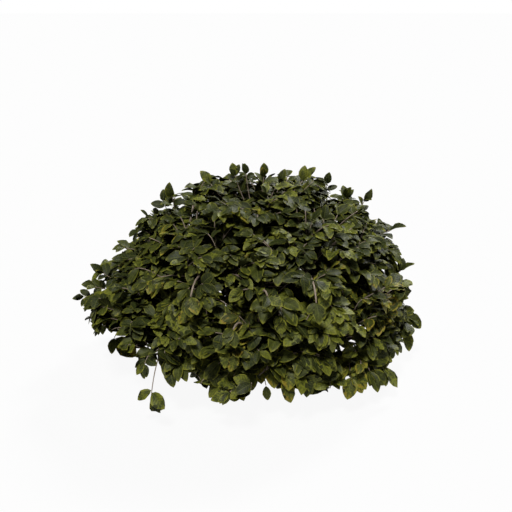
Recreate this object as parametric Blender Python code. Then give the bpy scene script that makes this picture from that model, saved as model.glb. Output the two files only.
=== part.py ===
"""A tea bush rooted in the ground: a short stem, its boughs, and the masses of leafy twigs that they carry.

Metres, +Z up. The origin is at the flat cut under the stem, at ground level. The crown is a wide dome, a
little longer towards -X, and -Y is its front. Each bough ends just short of the stem of one leafy mass, and
each mass keeps to its own space: the part of the crown that is nearer to its middle than to any other's.
"""

import math
import random

import bmesh
import bpy
import numpy as np
from mathutils import Matrix, Vector
from mathutils.bvhtree import BVHTree

# Crown: its top, how far it reaches from the stem's axis, and where it is widest.
CROWN_TOP = 0.730
REACH_RIGHT = 0.590
REACH_LEFT = 0.630
REACH_FRONT = 0.535
REACH_BACK = 0.560
WIDEST_HEIGHT = 0.195
WIDEST_HEIGHT_SWING = -0.045  # lower towards +X, higher towards -X
PROFILE_POWER = 1.85
PROFILE_POWER_SWING = 0.35  # a fuller shoulder towards +X, a straighter slope towards -X
DRAW_IN_AT_GROUND = 0.17
LOBES_ROUND = 7
LOBE_TWIST = 9.0
LOBE_DEPTH = 0.022

# Stem: a short stout trunk with a root flare, hidden inside the crown.
STEM_HEIGHT = 0.160
STEM_RADIUS = 0.0265
STEM_TOP_RADIUS = 0.0205
STEM_ROUNDING = ((0.0065, 0.78), (0.0100, 0.35))  # rise above the last ring, and share of its radius
FLARE_RADIUS = 0.0440
FLARE_HEIGHT = 0.030  # the flare falls to about a third over this height
FLARE_LOBES = 5
FLARE_LOBE_DEPTH = 0.12
STEM_LEAN = 0.010  # how far the stem's top stands towards -X
LEAN_POWER = 1.5
STEM_SIDES = 15
STEM_RINGS = 8
RING_CROWDING = 1.25  # rings stand closer together near the ground

# Boughs: tapering limbs, one for each mass.
BOUGH_SIDES = 6
BOUGH_RINGS = 7
BOUGH_TIP_RADIUS = 0.0052
BOUGH_TAPER = 0.8
BOUGH_LEAVES = 0.40  # how far a bough keeps the slope that it leaves the stem with, as a share of its run
BOUGH_ARRIVES = 0.25  # and the slope that it arrives with
CLEARANCE = 0.0003  # between the stem and a bough, and between a bough and its mass

# Masses, ring by ring from the top. Each ring has its count, the height of its middles and their share of
# the crown's reach, the first one's azimuth in degrees, and the half sizes of a core outwards, round the
# stem and up. Its boughs have their starting heights on the stem, a slope in degrees and a first radius.
RINGS = {
    "top": {
        "count": 1, "height": 0.500, "share": 0.00, "first": 0.0, "core": (0.110, 0.110, 0.085),
        "starts": (0.140,), "slope": 88.0, "radius": 0.0110,
    },
    "upper": {
        "count": 5, "height": 0.395, "share": 0.52, "first": -54.0, "core": (0.080, 0.122, 0.086),
        "starts": (0.108, 0.100), "slope": 60.0, "radius": 0.0100,
    },
    "lower": {
        "count": 7, "height": 0.180, "share": 0.64, "first": -90.0, "core": (0.078, 0.142, 0.088),
        "starts": (0.086, 0.042, 0.064), "slope": 34.0, "radius": 0.0085,
    },
}
HEART_HEIGHT = 0.10  # masses face away from this height on the stem's axis
CORE_ROUGHNESS = 0.12
MASS_STEM_LENGTH = 0.022  # what shows of a mass's own stem between its bough and its core

# Twigs: arms from the middle of a mass, each forking into shoots that end near the crown's surface.
SHOOTS = 156
SHOOT_REACH = (0.76, 0.90)  # where shoots end, as shares of the crown's reach
TURN_SCATTER = 0.10
HEIGHT_SCATTER = 0.02
LOWEST_SHOOT = 0.05
HIGHEST_SHOOT = 0.985  # as a share of the crown's top
AREA_STEPS = 201
FORK_AT = 0.72  # where an arm forks, as a share of the way to the core's surface
ARM_RADIUS = 0.0070
FORK_RADIUS = 0.0064
SHOOT_RADIUS = 0.0054
SHOOT_TIP_RADIUS = 0.0040
TWIG_SIDES = 3

# Leaves, larger than life because there are fewer of them than on the living bush.
LEAF_LENGTH = 0.110
LEAF_WIDTH = 0.072
LEAF_THICKNESS = 0.0026
LEAF_ROOT_WIDTH = 0.0026
LEAF_WIDEST = 0.42
LEAF_TIP_WIDTH = 0.30  # of the blunt tip, as a share of the leaf's width
LEAF_SPLAY = (38.0, 62.0)
LEAF_DROOP = 0.36
FACE_UP = 0.75  # leaves face upwards and outwards in this proportion
FACE_OUT = 0.65
LEAF_SIZES = (0.84, 1.06)
LEAF_PAIRS_AT = (0.42, 0.82)
LEAF_TRIES = 12
LEAF_SHRINK = 0.975
LEAF_TURN = 0.16  # how far a leaf turns at random, more at each try
LEAF_PUSH = 0.35  # how far it turns back from what it would pass
LOWEST_LEAF = 0.008

# Longest shoots, which give the crown its furthest tips: azimuth in degrees, height and reach of the tip.
LONG_SHOOTS = {
    "crown_tip": (170.0, 0.727, 0.030),
    "crown_left": (176.0, 0.660, 0.270),
    "crown_right": (8.0, 0.710, 0.200),
    "left_tip": (181.0, 0.240, 0.652),
    "right_tip": (-3.0, 0.150, 0.604),
    "front_left_hanging": (-126.0, 0.022, 0.520),
    "left_low": (-170.0, 0.055, 0.545),
    "right_shoulder": (4.0, 0.492, 0.512),
    "front_right_low": (-34.0, 0.040, 0.520),
    "front_low": (-92.0, 0.030, 0.440),
    "back_tip": (92.0, 0.210, 0.580),
}
LONG_SHORT_OF = 0.85  # how far short of its leaf's tip a long shoot ends, and how far above, in leaf lengths
LONG_ABOVE = 0.10
CROWN_SHARE = 1.02  # how far leaves may go, as a share of the crown's reach
LONG_SHARE = 1.12  # and those of the long shoots
SPACE_MARGIN = 0.0012  # between a mass's twigs and the faces of its space
LIMB_MARGIN = 0.0130  # between the sampled points of a leaf or twig and a limb
SEED = 11

UP = Vector((0.0, 0.0, 1.0))


def clear_scene():
    """Remove every object that the file starts with."""
    for item in list(bpy.data.objects):
        bpy.data.objects.remove(item, do_unlink=True)


def plain_material(name, colour, roughness):
    """One finish: a Principled surface of one colour and roughness."""
    material = bpy.data.materials.new(name)
    material.use_nodes = True
    surface = material.node_tree.nodes["Principled BSDF"]
    surface.inputs["Base Color"].default_value = (*colour, 1.0)
    surface.inputs["Roughness"].default_value = roughness
    surface.inputs["Metallic"].default_value = 0.0
    return material


def new_object(name, vertices, faces, material=None):
    """A mesh object of these faces, all pointing outwards."""
    mesh = bpy.data.meshes.new(name)
    mesh.from_pydata([tuple(vertex) for vertex in vertices], [], faces)
    shape = bmesh.new()
    shape.from_mesh(mesh)
    bmesh.ops.recalc_face_normals(shape, faces=shape.faces)
    shape.to_mesh(mesh)
    shape.free()
    if material:
        mesh.materials.append(material)
    item = bpy.data.objects.new(name, mesh)
    bpy.context.scene.collection.objects.link(item)
    return item


def set_origin(item, point, parent):
    """Give an object its origin at a point without moving its shape, and hang it under its parent."""
    item.data.transform(Matrix.Translation(-point))
    item.location = point
    item.parent = parent


def outward(azimuth):
    """Level unit vector at an azimuth in radians from +X."""
    return Vector((math.cos(azimuth), math.sin(azimuth), 0.0))


def crown_radius(azimuth, height):
    """Reach of the crown's surface from the stem's axis.

    In plan it is four quarter ellipses. Above its widest height it follows a superellipse to the top, and
    below it draws in a little towards the ground. Low lobes wind round it.
    """
    east = math.cos(azimuth)
    north = math.sin(azimuth)
    reach_x = REACH_RIGHT if east > 0 else REACH_LEFT
    reach_y = REACH_BACK if north > 0 else REACH_FRONT
    plan = 1.0 / math.hypot(east / reach_x, north / reach_y)
    widest = WIDEST_HEIGHT + WIDEST_HEIGHT_SWING * east
    power = PROFILE_POWER + PROFILE_POWER_SWING * east
    if height > widest:
        rise = min((height - widest) / (CROWN_TOP - widest), 1.0)
        profile = (1.0 - rise**power) ** (1.0 / power)
    else:
        profile = 1.0 - DRAW_IN_AT_GROUND * (1.0 - height / widest) ** 2
    lobes = 1.0 + LOBE_DEPTH * math.sin(LOBES_ROUND * azimuth + LOBE_TWIST * height)
    return plan * profile * lobes


def inside_crown(point, share):
    """Whether a point is under the crown's top and within a share of the crown's reach."""
    if point.z >= CROWN_TOP:
        return False
    return math.hypot(point.x, point.y) < share * crown_radius(math.atan2(point.y, point.x), point.z)


def stem_axis(height):
    """Middle of the stem at a height, as it leans over more and more."""
    return Vector((-STEM_LEAN * (height / STEM_HEIGHT) ** LEAN_POWER, 0.0, height))


def stem_ring(height, grow):
    """One ring of the stem: a circle that tapers upwards, with a lobed flare that dies away above ground."""
    flare = (FLARE_RADIUS - STEM_RADIUS) * math.exp(-height / FLARE_HEIGHT)
    plain = STEM_RADIUS + (STEM_TOP_RADIUS - STEM_RADIUS) * height / STEM_HEIGHT
    ring = []
    for step in range(STEM_SIDES):
        azimuth = math.tau * step / STEM_SIDES
        lobes = 1.0 + FLARE_LOBE_DEPTH * math.cos(FLARE_LOBES * azimuth)
        ring.append(stem_axis(height) + outward(azimuth) * (plain + flare * lobes + grow))
    return ring


def skin_of_rings(rings):
    """Vertices and faces of a closed skin over rings of one size, with a flat cap on each end."""
    sides = len(rings[0])
    faces = [tuple(range(sides)), tuple(range((len(rings) - 1) * sides, len(rings) * sides))]
    for row in range(len(rings) - 1):
        low, high = row * sides, (row + 1) * sides
        for step in range(sides):
            after = (step + 1) % sides
            faces.append((low + step, low + after, high + after, high + step))
    return [vertex for ring in rings for vertex in ring], faces


def make_stem(name, material=None, grow=0.0, below=0.0):
    """The stem from its flat cut to its rounded fork, or a copy grown on all sides to cut the boughs."""
    shares = [step / (STEM_RINGS - 1) for step in range(STEM_RINGS)]
    rings = [stem_ring(STEM_HEIGHT * share**RING_CROWDING, grow) for share in shares]
    fork, last = stem_axis(STEM_HEIGHT), rings[-1]
    for rise, share in STEM_ROUNDING:
        rings.append([fork + (vertex - fork) * share + UP * (rise + grow) for vertex in last])
    if below:
        rings.insert(0, [vertex - UP * below for vertex in rings[0]])
    vertices, faces = skin_of_rings(rings)
    return new_object(name, vertices, faces, material)


def bezier(start, leave, arrive, end, share):
    """Point of a cubic curve with two handles."""
    rest = 1.0 - share
    return start * rest**3 + leave * 3 * rest**2 * share + arrive * 3 * rest * share**2 + end * share**3


def tube_rings(points, radii, sides, turn):
    """Rings square to a path, each turned as little as possible from the one before."""
    rings = []
    side = None
    for index, (point, radius) in enumerate(zip(points, radii)):
        before = points[max(index - 1, 0)]
        after = points[min(index + 1, len(points) - 1)]
        along = (after - before).normalized()
        if side is None:
            side = along.orthogonal().normalized()
        side = (side - along * side.dot(along)).normalized()
        other = along.cross(side)
        angles = [turn + math.tau * step / sides for step in range(sides)]
        rings.append([point + (side * math.cos(a) + other * math.sin(a)) * radius for a in angles])
    return rings


def tube(points, radii, sides, turn=0.0):
    """Vertices and faces of a closed tube along a path."""
    return skin_of_rings(tube_rings(points, radii, sides, turn))


class Mass:
    """The plan of one leafy mass: its name, middle, bough and the end of that bough."""

    def __init__(self, ring, number):
        plan = RINGS[ring]
        azimuth = math.radians(plan["first"] + 360.0 * number / plan["count"])
        self.label = ring if plan["count"] == 1 else f"{ring}_{number + 1}"
        self.core = plan["core"]
        reach = plan["share"] * crown_radius(azimuth, plan["height"])
        self.middle = outward(azimuth) * reach + UP * plan["height"]
        start = stem_axis(plan["starts"][number % len(plan["starts"])])
        slope = math.radians(plan["slope"])
        rising = outward(azimuth) * math.cos(slope) + UP * math.sin(slope)
        run = (self.middle - start).length
        leave = start + rising * (BOUGH_LEAVES * run)
        arriving = (self.middle - leave).normalized()
        self.out = outward(azimuth)
        self.round = UP.cross(self.out)
        self.bough_end = self.middle - arriving * (self.core_reach(-arriving) + MASS_STEM_LENGTH)
        arrive = self.bough_end - arriving * (BOUGH_ARRIVES * run)
        shares = [step / (BOUGH_RINGS - 1) for step in range(BOUGH_RINGS)]
        self.path = [bezier(start, leave, arrive, self.bough_end, share) for share in shares]
        radius = plan["radius"]
        self.radii = [radius + (BOUGH_TIP_RADIUS - radius) * share**BOUGH_TAPER for share in shares]
        self.arriving = (self.path[-1] - self.path[-2]).normalized()

    def core_reach(self, way):
        """How far the core's egg shape reaches from its middle along a unit vector."""
        parts = (way.dot(self.out), way.dot(self.round), way.z)
        return 1.0 / math.hypot(*(part / size for part, size in zip(parts, self.core)))

    def make_bough(self, material, cutter):
        """The tapering bough, cut clear of the stem that it leaves."""
        vertices, faces = tube(self.path, self.radii, BOUGH_SIDES)
        bough = new_object(f"bough_{self.label}", vertices, faces, material)
        cut = bough.modifiers.new("clear_of_stem", "BOOLEAN")
        cut.operation = "DIFFERENCE"
        cut.solver = "EXACT"
        cut.object = cutter
        return bough


class Limbs:
    """The stem and boughs as straight pieces with a radius, to keep leaves clear of them."""

    def __init__(self, masses):
        starts, ends, radii = [], [], []
        for mass in masses:
            for index in range(BOUGH_RINGS - 1):
                starts.append(mass.path[index])
                ends.append(mass.path[index + 1])
                radii.append(mass.radii[index])
        starts.append(stem_axis(0.0))
        ends.append(stem_axis(STEM_HEIGHT))
        radii.append(FLARE_RADIUS)
        self.starts = np.array(starts)
        self.runs = np.array(ends) - self.starts
        self.radii = np.array(radii)

    def clear_of(self, points):
        """Whether every point stays clear of every limb."""
        offsets = np.array(points)[:, None, :] - self.starts[None, :, :]
        shares = (offsets * self.runs).sum(axis=2) / (self.runs**2).sum(axis=1)
        nearest = offsets - self.runs * np.clip(shares, 0.0, 1.0)[:, :, None]
        distances = np.linalg.norm(nearest, axis=2) - self.radii
        return bool((distances > LIMB_MARGIN).all())


class Space:
    """The space of one mass: what lies nearer to its middle than to any other's, short of a margin."""

    def __init__(self, mass, masses):
        others = [other.middle for other in masses if other is not mass]
        steps = np.array(others) - np.array(mass.middle)
        lengths = np.linalg.norm(steps, axis=1)
        self.normals = steps / lengths[:, None]
        self.limits = lengths / 2 - SPACE_MARGIN
        self.middle = np.array(mass.middle)

    def push_from_wall(self, points):
        """The way back from the wall that points pass furthest, or None where they pass none."""
        passed = (np.array(points) - self.middle) @ self.normals.T - self.limits
        worst = passed.max(axis=0)
        return -Vector(self.normals[worst.argmax()]) if worst.max() > 0 else None


def between(first, second, count):
    """Evenly spaced points from one point to another, with both."""
    return [first.lerp(second, step / (count - 1)) for step in range(count)]


def leaf_shape(root, along, facing, size):
    """A leaf with a flat upper side and a keel below: a three-sided root that opens to a blunt tip."""
    side = along.cross(facing).normalized()
    length = LEAF_LENGTH * size
    half_width = LEAF_WIDTH * size / 2
    widest = root + along * (length * LEAF_WIDEST)
    tip = root + along * length
    vertices = [
        root - side * (LEAF_ROOT_WIDTH / 2),
        root + side * (LEAF_ROOT_WIDTH / 2),
        root - facing * LEAF_THICKNESS,
        widest - side * half_width,
        widest + side * half_width,
        tip - side * (half_width * LEAF_TIP_WIDTH),
        tip + side * (half_width * LEAF_TIP_WIDTH),
    ]
    faces = [(0, 3, 5, 6, 4, 1), (2, 0, 1), (2, 3, 0), (2, 5, 3), (2, 6, 5), (2, 4, 6), (2, 1, 4)]
    return vertices, faces


def leaf_samples(vertices):
    """Points spread over a leaf past its root, close enough together for the test against limbs."""
    root, _, _, left, right, tip_left, tip_right = vertices
    tip = (tip_left + tip_right) / 2
    points = between(root, tip, 6)[1:]
    for end, tip_end in ((left, tip_left), (right, tip_right)):
        points += between(root, end, 4)[1:] + between(end, tip_end, 4)[1:]
        points.append((root + end + tip_end) / 3)
    return points


class Spray:
    """The core and the pieces of one mass as they grow: twigs and leaves, each kept only where it fits."""

    def __init__(self, mass, space, limbs, chance):
        self.mass = mass
        self.space = space
        self.limbs = limbs
        self.chance = chance
        self.core = core_shape(mass, chance)
        self.pieces = []

    def crosses(self, shape, spared):
        """Whether a shape cuts through the core or a piece that has grown before it, except a spared one."""
        vertices, faces = [], []
        for piece in [self.core, *self.pieces]:
            if piece is not spared:
                faces += [tuple(corner + len(vertices) for corner in face) for face in piece[1]]
                vertices += piece[0]
        grown = BVHTree.FromPolygons(vertices, faces)
        return bool(grown.overlap(BVHTree.FromPolygons(*shape)))

    def hindrance(self, points, share):
        """A push back from the ground, the crown's surface, a limb or the wall of the space that points pass.

        It is None where they fit.
        """
        lowest = min(points, key=lambda point: point.z)
        if lowest.z < LOWEST_LEAF:
            return UP
        for point in points:
            if not inside_crown(point, share):
                return (UP * WIDEST_HEIGHT - point).normalized()
        if not self.limbs.clear_of(points):
            return points[0].normalized()
        return self.space.push_from_wall(points)

    def stray(self, spread):
        """A random vector of about this size."""
        return Vector([self.chance.gauss(0.0, spread) for _ in range(3)])

    def add_twig(self, start, end, first_radius, last_radius):
        """A straight three-sided twig that tapers from one point to another."""
        turn = self.chance.uniform(0.0, math.tau)
        twig = tube([start, end], [first_radius, last_radius], TWIG_SIDES, turn)
        self.pieces.append(twig)
        return twig

    def add_leaf(self, twig, node, along, facing, share):
        """A leaf that grows from a point on a twig, or nothing where no try fits."""
        size = self.chance.uniform(*LEAF_SIZES)
        back = Vector()
        for turn in range(1, LEAF_TRIES + 1):
            aim = (along + self.stray(LEAF_TURN * turn**0.5) + back).normalized()
            face = facing + self.stray(LEAF_TURN * turn**0.5)
            face = (face - aim * face.dot(aim)).normalized()
            leaf = leaf_shape(node, aim, face, size)
            push = self.hindrance(leaf_samples(leaf[0]), share)
            if push is None and not self.crosses(leaf, twig):
                self.pieces.append(leaf)
                return
            if push:
                back += push * LEAF_PUSH
            size *= LEAF_SHRINK

    def add_shoot(self, start, end, share=CROWN_SHARE):
        """One shoot from its fork: a straight twig with pairs of leaves and one at its tip."""
        if self.hindrance(between(start, end, 7)[1:], share):
            return
        twig = self.add_twig(start, end, SHOOT_RADIUS, SHOOT_TIP_RADIUS)
        along = (end - start).normalized()
        away = Vector((end.x, end.y, 0.0)).normalized()
        facing = (UP * FACE_UP + away * FACE_OUT).normalized()
        sideways = along.cross(facing).normalized()
        for where in LEAF_PAIRS_AT:
            for hand in (-1.0, 1.0):
                splay = math.radians(self.chance.uniform(*LEAF_SPLAY))
                aim = along * math.cos(splay) + sideways * (hand * math.sin(splay)) - UP * LEAF_DROOP
                self.add_leaf(twig, start.lerp(end, where), aim.normalized(), facing, share)
        tip_aim = (along - UP * LEAF_DROOP).normalized()
        self.add_leaf(twig, end - along * SHOOT_TIP_RADIUS, tip_aim, facing, share)


def surface_targets(chance):
    """Where shoots end: points spread evenly over the crown by the golden angle, then scattered a little.

    The height of each comes from its share of the surface's area, which is added up ring by ring.
    """
    highest = CROWN_TOP * HIGHEST_SHOOT
    heights = np.linspace(LOWEST_SHOOT, highest, AREA_STEPS)
    reaches = np.array([crown_radius(0.0, height) + crown_radius(math.pi, height) for height in heights]) / 2
    slants = np.hypot(np.diff(heights), np.diff(reaches))
    areas = np.append(0.0, np.cumsum(slants * (reaches[1:] + reaches[:-1])))
    golden = math.pi * (3.0 - math.sqrt(5.0))
    heart = UP * WIDEST_HEIGHT
    targets = []
    for number in range(SHOOTS):
        height = float(np.interp(areas[-1] * (number + 0.5) / SHOOTS, areas, heights))
        height += chance.uniform(-HEIGHT_SCATTER, HEIGHT_SCATTER)
        height = min(max(height, LOWEST_SHOOT), highest)
        azimuth = number * golden + chance.uniform(-TURN_SCATTER, TURN_SCATTER)
        surface = outward(azimuth) * crown_radius(azimuth, height) + UP * height
        targets.append(heart.lerp(surface, chance.uniform(*SHOOT_REACH)))
    return targets


def shared_out(targets, masses):
    """Targets by the label of the mass whose middle is nearest."""
    shares = {mass.label: [] for mass in masses}
    for target in targets:
        nearest = min(masses, key=lambda mass: (mass.middle - target).length)
        shares[nearest.label].append(target)
    return shares


def grow_mass(mass, masses, targets, long_targets, limbs, chance):
    """The core and the twigs and leaves of one mass: arms in the core that fork into leafy shoots."""
    spray = Spray(mass, Space(mass, masses), limbs, chance)
    away = (mass.middle - UP * HEART_HEIGHT).normalized()
    side = away.orthogonal().normalized()
    other = away.cross(side)

    def turn_of(target):
        step = target - mass.middle
        return math.atan2(step.dot(other), step.dot(side))

    ordered = sorted(targets, key=turn_of)
    for first in range(0, len(ordered), 2):
        pair = ordered[first : first + 2]
        aim = sum(pair, Vector()) / len(pair)
        onward = (aim - mass.middle).normalized()
        fork = mass.middle + onward * (mass.core_reach(onward) * FORK_AT)
        spray.add_twig(mass.middle, fork, ARM_RADIUS, FORK_RADIUS)
        for target in pair:
            spray.add_shoot(fork - onward * FORK_RADIUS, target)
    for target in long_targets:
        spray.add_shoot(mass.middle, target, LONG_SHARE)
    return spray


def core_shape(mass, chance):
    """Vertices and faces of a rough egg shape round the middle of a mass."""
    shape = bmesh.new()
    bmesh.ops.create_icosphere(shape, subdivisions=2, radius=1.0)
    vertices = []
    for vertex in shape.verts:
        rough = 1.0 - CORE_ROUGHNESS * chance.random()
        vertices.append(mass.middle + vertex.co * (mass.core_reach(vertex.co.normalized()) * rough))
    faces = [tuple(vertex.index for vertex in face.verts) for face in shape.faces]
    shape.free()
    return vertices, faces


def joined(name, first, pieces, material):
    """One closed body from many that overlap: a single Boolean union, its seals filled and scraps dropped."""
    body = new_object(name, *first, material)
    group = bpy.data.collections.new(f"{name}_pieces")
    bpy.context.scene.collection.children.link(group)
    for number, (vertices, faces) in enumerate(pieces):
        piece = new_object(f"{name}_piece_{number}", vertices, faces)
        bpy.context.scene.collection.objects.unlink(piece)
        group.objects.link(piece)
    union = body.modifiers.new("join", "BOOLEAN")
    union.operation = "UNION"
    union.operand_type = "COLLECTION"
    union.solver = "EXACT"
    union.collection = group
    bpy.context.view_layer.update()
    evaluated = body.evaluated_get(bpy.context.evaluated_depsgraph_get())
    mesh = bpy.data.meshes.new_from_object(evaluated)
    body.modifiers.clear()
    body.data = mesh
    for piece in list(group.objects):
        bpy.data.objects.remove(piece, do_unlink=True)
    bpy.data.collections.remove(group)
    keep_outer_shell(mesh)
    return body


def keep_outer_shell(mesh):
    """Keep the one connected shell that reaches furthest, and drop sealed hollows and loose scraps."""
    shape = bmesh.new()
    shape.from_mesh(mesh)
    waiting = set(shape.verts)
    shells = []
    while waiting:
        shell = {waiting.pop()}
        edge = list(shell)
        while edge:
            vertex = edge.pop()
            for link in vertex.link_edges:
                after = link.other_vert(vertex)
                if after in waiting:
                    waiting.remove(after)
                    shell.add(after)
                    edge.append(after)
        shells.append(shell)
    shells.sort(key=len)
    scraps = [vertex for shell in shells[:-1] for vertex in shell]
    bmesh.ops.delete(shape, geom=scraps, context="VERTS")
    shape.to_mesh(mesh)
    shape.free()


def make_mass(mass, masses, targets, long_targets, limbs, material, number):
    """One leafy mass as a single solid, whose own stem starts just past its bough's end."""
    chance = random.Random(SEED * 100 + number)
    spray = grow_mass(mass, masses, targets, long_targets, limbs, chance)
    stem_start = mass.path[-1] + mass.arriving * CLEARANCE
    stem = tube([stem_start, mass.middle], [BOUGH_TIP_RADIUS, BOUGH_TIP_RADIUS], BOUGH_SIDES)
    return joined(f"foliage_{mass.label}", spray.core, [stem, *spray.pieces], material)


def long_shoot_targets():
    """Where the twigs of the long shoots end: a leaf's length short of their tips."""
    targets = []
    for azimuth, height, reach in LONG_SHOOTS.values():
        tip = outward(math.radians(azimuth)) * reach + UP * height
        away = (tip - UP * WIDEST_HEIGHT).normalized()
        targets.append(tip - away * (LEAF_LENGTH * LONG_SHORT_OF) + UP * (LEAF_LENGTH * LONG_ABOVE))
    return targets


def main():
    """Build the stem, the boughs and the masses under one empty."""
    clear_scene()
    bark = plain_material("stem_bark", (0.16, 0.12, 0.09), 0.85)
    bough_bark = plain_material("bough_bark", (0.21, 0.16, 0.12), 0.80)
    leaves = plain_material("tea_leaves", (0.045, 0.060, 0.012), 0.50)
    bush = bpy.data.objects.new("tea_bush", None)
    bpy.context.scene.collection.objects.link(bush)

    stem = make_stem("stem", bark)
    stem.parent = bush
    cutter = make_stem("stem_clearance", grow=CLEARANCE, below=0.01)
    cutter.hide_render = True
    cutter.display_type = "WIRE"
    cutter.parent = bush

    masses = [Mass(ring, number) for ring in RINGS for number in range(RINGS[ring]["count"])]
    limbs = Limbs(masses)
    for mass in masses:
        set_origin(mass.make_bough(bough_bark, cutter), mass.path[0], bush)

    short = shared_out(surface_targets(random.Random(SEED)), masses)
    long = shared_out(long_shoot_targets(), masses)
    for number, mass in enumerate(masses):
        foliage = make_mass(mass, masses, short[mass.label], long[mass.label], limbs, leaves, number)
        set_origin(foliage, mass.path[-1], bush)


if __name__ == "__main__":
    main()
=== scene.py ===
"""Looks of a tea bush rooted in the ground: its bark, its twigs, its leaves and the stage round it.

Metres, +Z up, and -Y is the front. Limbs and leafy masses follow the same rule as the solids: one mass in
the middle and two rings of them, a bough to each, arms that fork into shoots, and shoots that end near the
crown's surface. Here the rule is carried on to side twigs and to leaves of real size. Every new piece is a
surface worked out with numpy as whole arrays, and every pattern is a sum of nodes over the piece's own map.
"""

import math
import random
from typing import NamedTuple

import bpy
import numpy as np
from bpy.props import FloatProperty, FloatVectorProperty, IntProperty, PointerProperty
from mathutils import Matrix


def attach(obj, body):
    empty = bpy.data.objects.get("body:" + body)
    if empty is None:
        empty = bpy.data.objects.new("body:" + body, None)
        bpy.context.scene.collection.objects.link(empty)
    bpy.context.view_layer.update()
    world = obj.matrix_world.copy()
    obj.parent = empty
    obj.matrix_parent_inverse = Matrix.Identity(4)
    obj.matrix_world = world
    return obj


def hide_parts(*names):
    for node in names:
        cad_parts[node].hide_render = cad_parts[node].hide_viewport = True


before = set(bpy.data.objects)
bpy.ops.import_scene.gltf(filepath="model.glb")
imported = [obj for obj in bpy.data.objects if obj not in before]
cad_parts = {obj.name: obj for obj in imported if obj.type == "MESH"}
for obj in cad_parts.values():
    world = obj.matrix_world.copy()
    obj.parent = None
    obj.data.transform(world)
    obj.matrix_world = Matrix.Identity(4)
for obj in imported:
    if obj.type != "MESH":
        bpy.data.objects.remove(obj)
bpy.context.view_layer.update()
SIDEBAR_TAB = "Tea Bush"

bl_info = {
    "name": "Tea Bush",
    "version": (1, 0, 0),
    "blender": (4, 5, 0),
    "location": "View3D > Sidebar > Tea Bush",
    "description": "Bark, twigs, leaves and stage of a tea bush",
    "category": "Add Mesh",
}

# What the solids share with this script: the crown, the stem, the masses and their boughs.
WIDEST_HEIGHT = 0.195
WIDEST_HEIGHT_SWING = -0.045  # lower towards +X, higher towards -X
PROFILE_POWER = 1.85
PROFILE_POWER_SWING = 0.35  # a fuller shoulder towards +X, a straighter slope towards -X
DRAW_IN_AT_GROUND = 0.17
LOBES_ROUND, LOBE_TWIST, LOBE_DEPTH = 7, 9.0, 0.022
STEM_HEIGHT = 0.160
STEM_RADIUS, STEM_TOP_RADIUS = 0.0265, 0.0205
FLARE_RADIUS, FLARE_HEIGHT = 0.0440, 0.030
FLARE_LOBES, FLARE_LOBE_DEPTH = 5, 0.12
STEM_LEAN, LEAN_POWER = 0.010, 1.5
BOUGH_TIP_RADIUS, BOUGH_TAPER = 0.0052, 0.8
BOUGH_LEAVES, BOUGH_ARRIVES = 0.40, 0.25
RINGS = {
    "top": {
        "count": 1, "height": 0.500, "share": 0.00, "first": 0.0, "core": (0.110, 0.110, 0.085),
        "starts": (0.140,), "slope": 88.0, "radius": 0.0110,
    },
    "upper": {
        "count": 5, "height": 0.395, "share": 0.52, "first": -54.0, "core": (0.080, 0.122, 0.086),
        "starts": (0.108, 0.100), "slope": 60.0, "radius": 0.0100,
    },
    "lower": {
        "count": 7, "height": 0.180, "share": 0.64, "first": -90.0, "core": (0.078, 0.142, 0.088),
        "starts": (0.086, 0.042, 0.064), "slope": 34.0, "radius": 0.0085,
    },
}
HEART_HEIGHT = 0.10
MASS_STEM_LENGTH = 0.022
SHOOTS = 156
SHOOT_REACH = (0.76, 0.90)
TURN_SCATTER, HEIGHT_SCATTER = 0.10, 0.02
LOWEST_SHOOT, HIGHEST_SHOOT = 0.05, 0.985
AREA_STEPS = 201
GOLDEN_ANGLE = math.pi * (3.0 - math.sqrt(5.0))
FORK_AT = 0.72
SEEDS = {  # of the random draws; the targets of the shoots share theirs with the solids
    "targets": 11, "inner_targets": 18, "arms": 11, "inner": 12, "sides": 13, "long": 14, "shoots": 15,
    "bare": 16, "stem": 3, "boughs": 20, "leaves": 40,
}

UP = np.array((0.0, 0.0, 1.0))
MIDDLE = UP * WIDEST_HEIGHT  # the crown's middle, which twigs and leaves are held towards
TINY = 1e-12  # the least length that is divided by
LEAST_REACH = 0.02  # of the crown, where its surface closes at the top

# Twigs: how far the inner shoots reach, and how far single sprays fill the crown's reach, which leaves
# hollows.
INNER_REACH = (0.52, 0.70)
CLUMPS = (0.89, 1.05)
UNDER_TOP_RADIUS, UNDER_TOP_HEIGHTS = 0.14, (0.76, 0.90)  # of the shoots that close the crown under its top
INNER_START, INNER_SCATTER = 0.12, 0.03
ARM_FEET = (0.25, 1.0)  # where arms leave the way from a bough's end to its mass's middle
END_HANDLES = (0.0, 0.33, 0.66, 1.0)  # of the straight twig that ends each bough
COUNTED_FROM = (0.31, 0.17, 0.93)  # the way from which shoots are counted round each mass
LEAVE_PULL, STRAIGHT_PULL = 0.7, 0.5  # how a twig's first way mixes its parent's way with the straight one
FIRST_HANDLE, LAST_HANDLE = 0.36, 0.34  # as shares of the twig's run
SHOOT_FOOT, SLIM_FOOT = 0.80, 0.75  # radii of shoots at their feet, as shares of the fork's
HANGS_BELOW = 0.45  # height below which twigs hang more
HOLD_STEPS = 4  # of holding twigs inside the crown
LENGTH_POINTS = 9
LEAFLESS = 2.0  # leaves that would start past the twig's end

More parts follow.
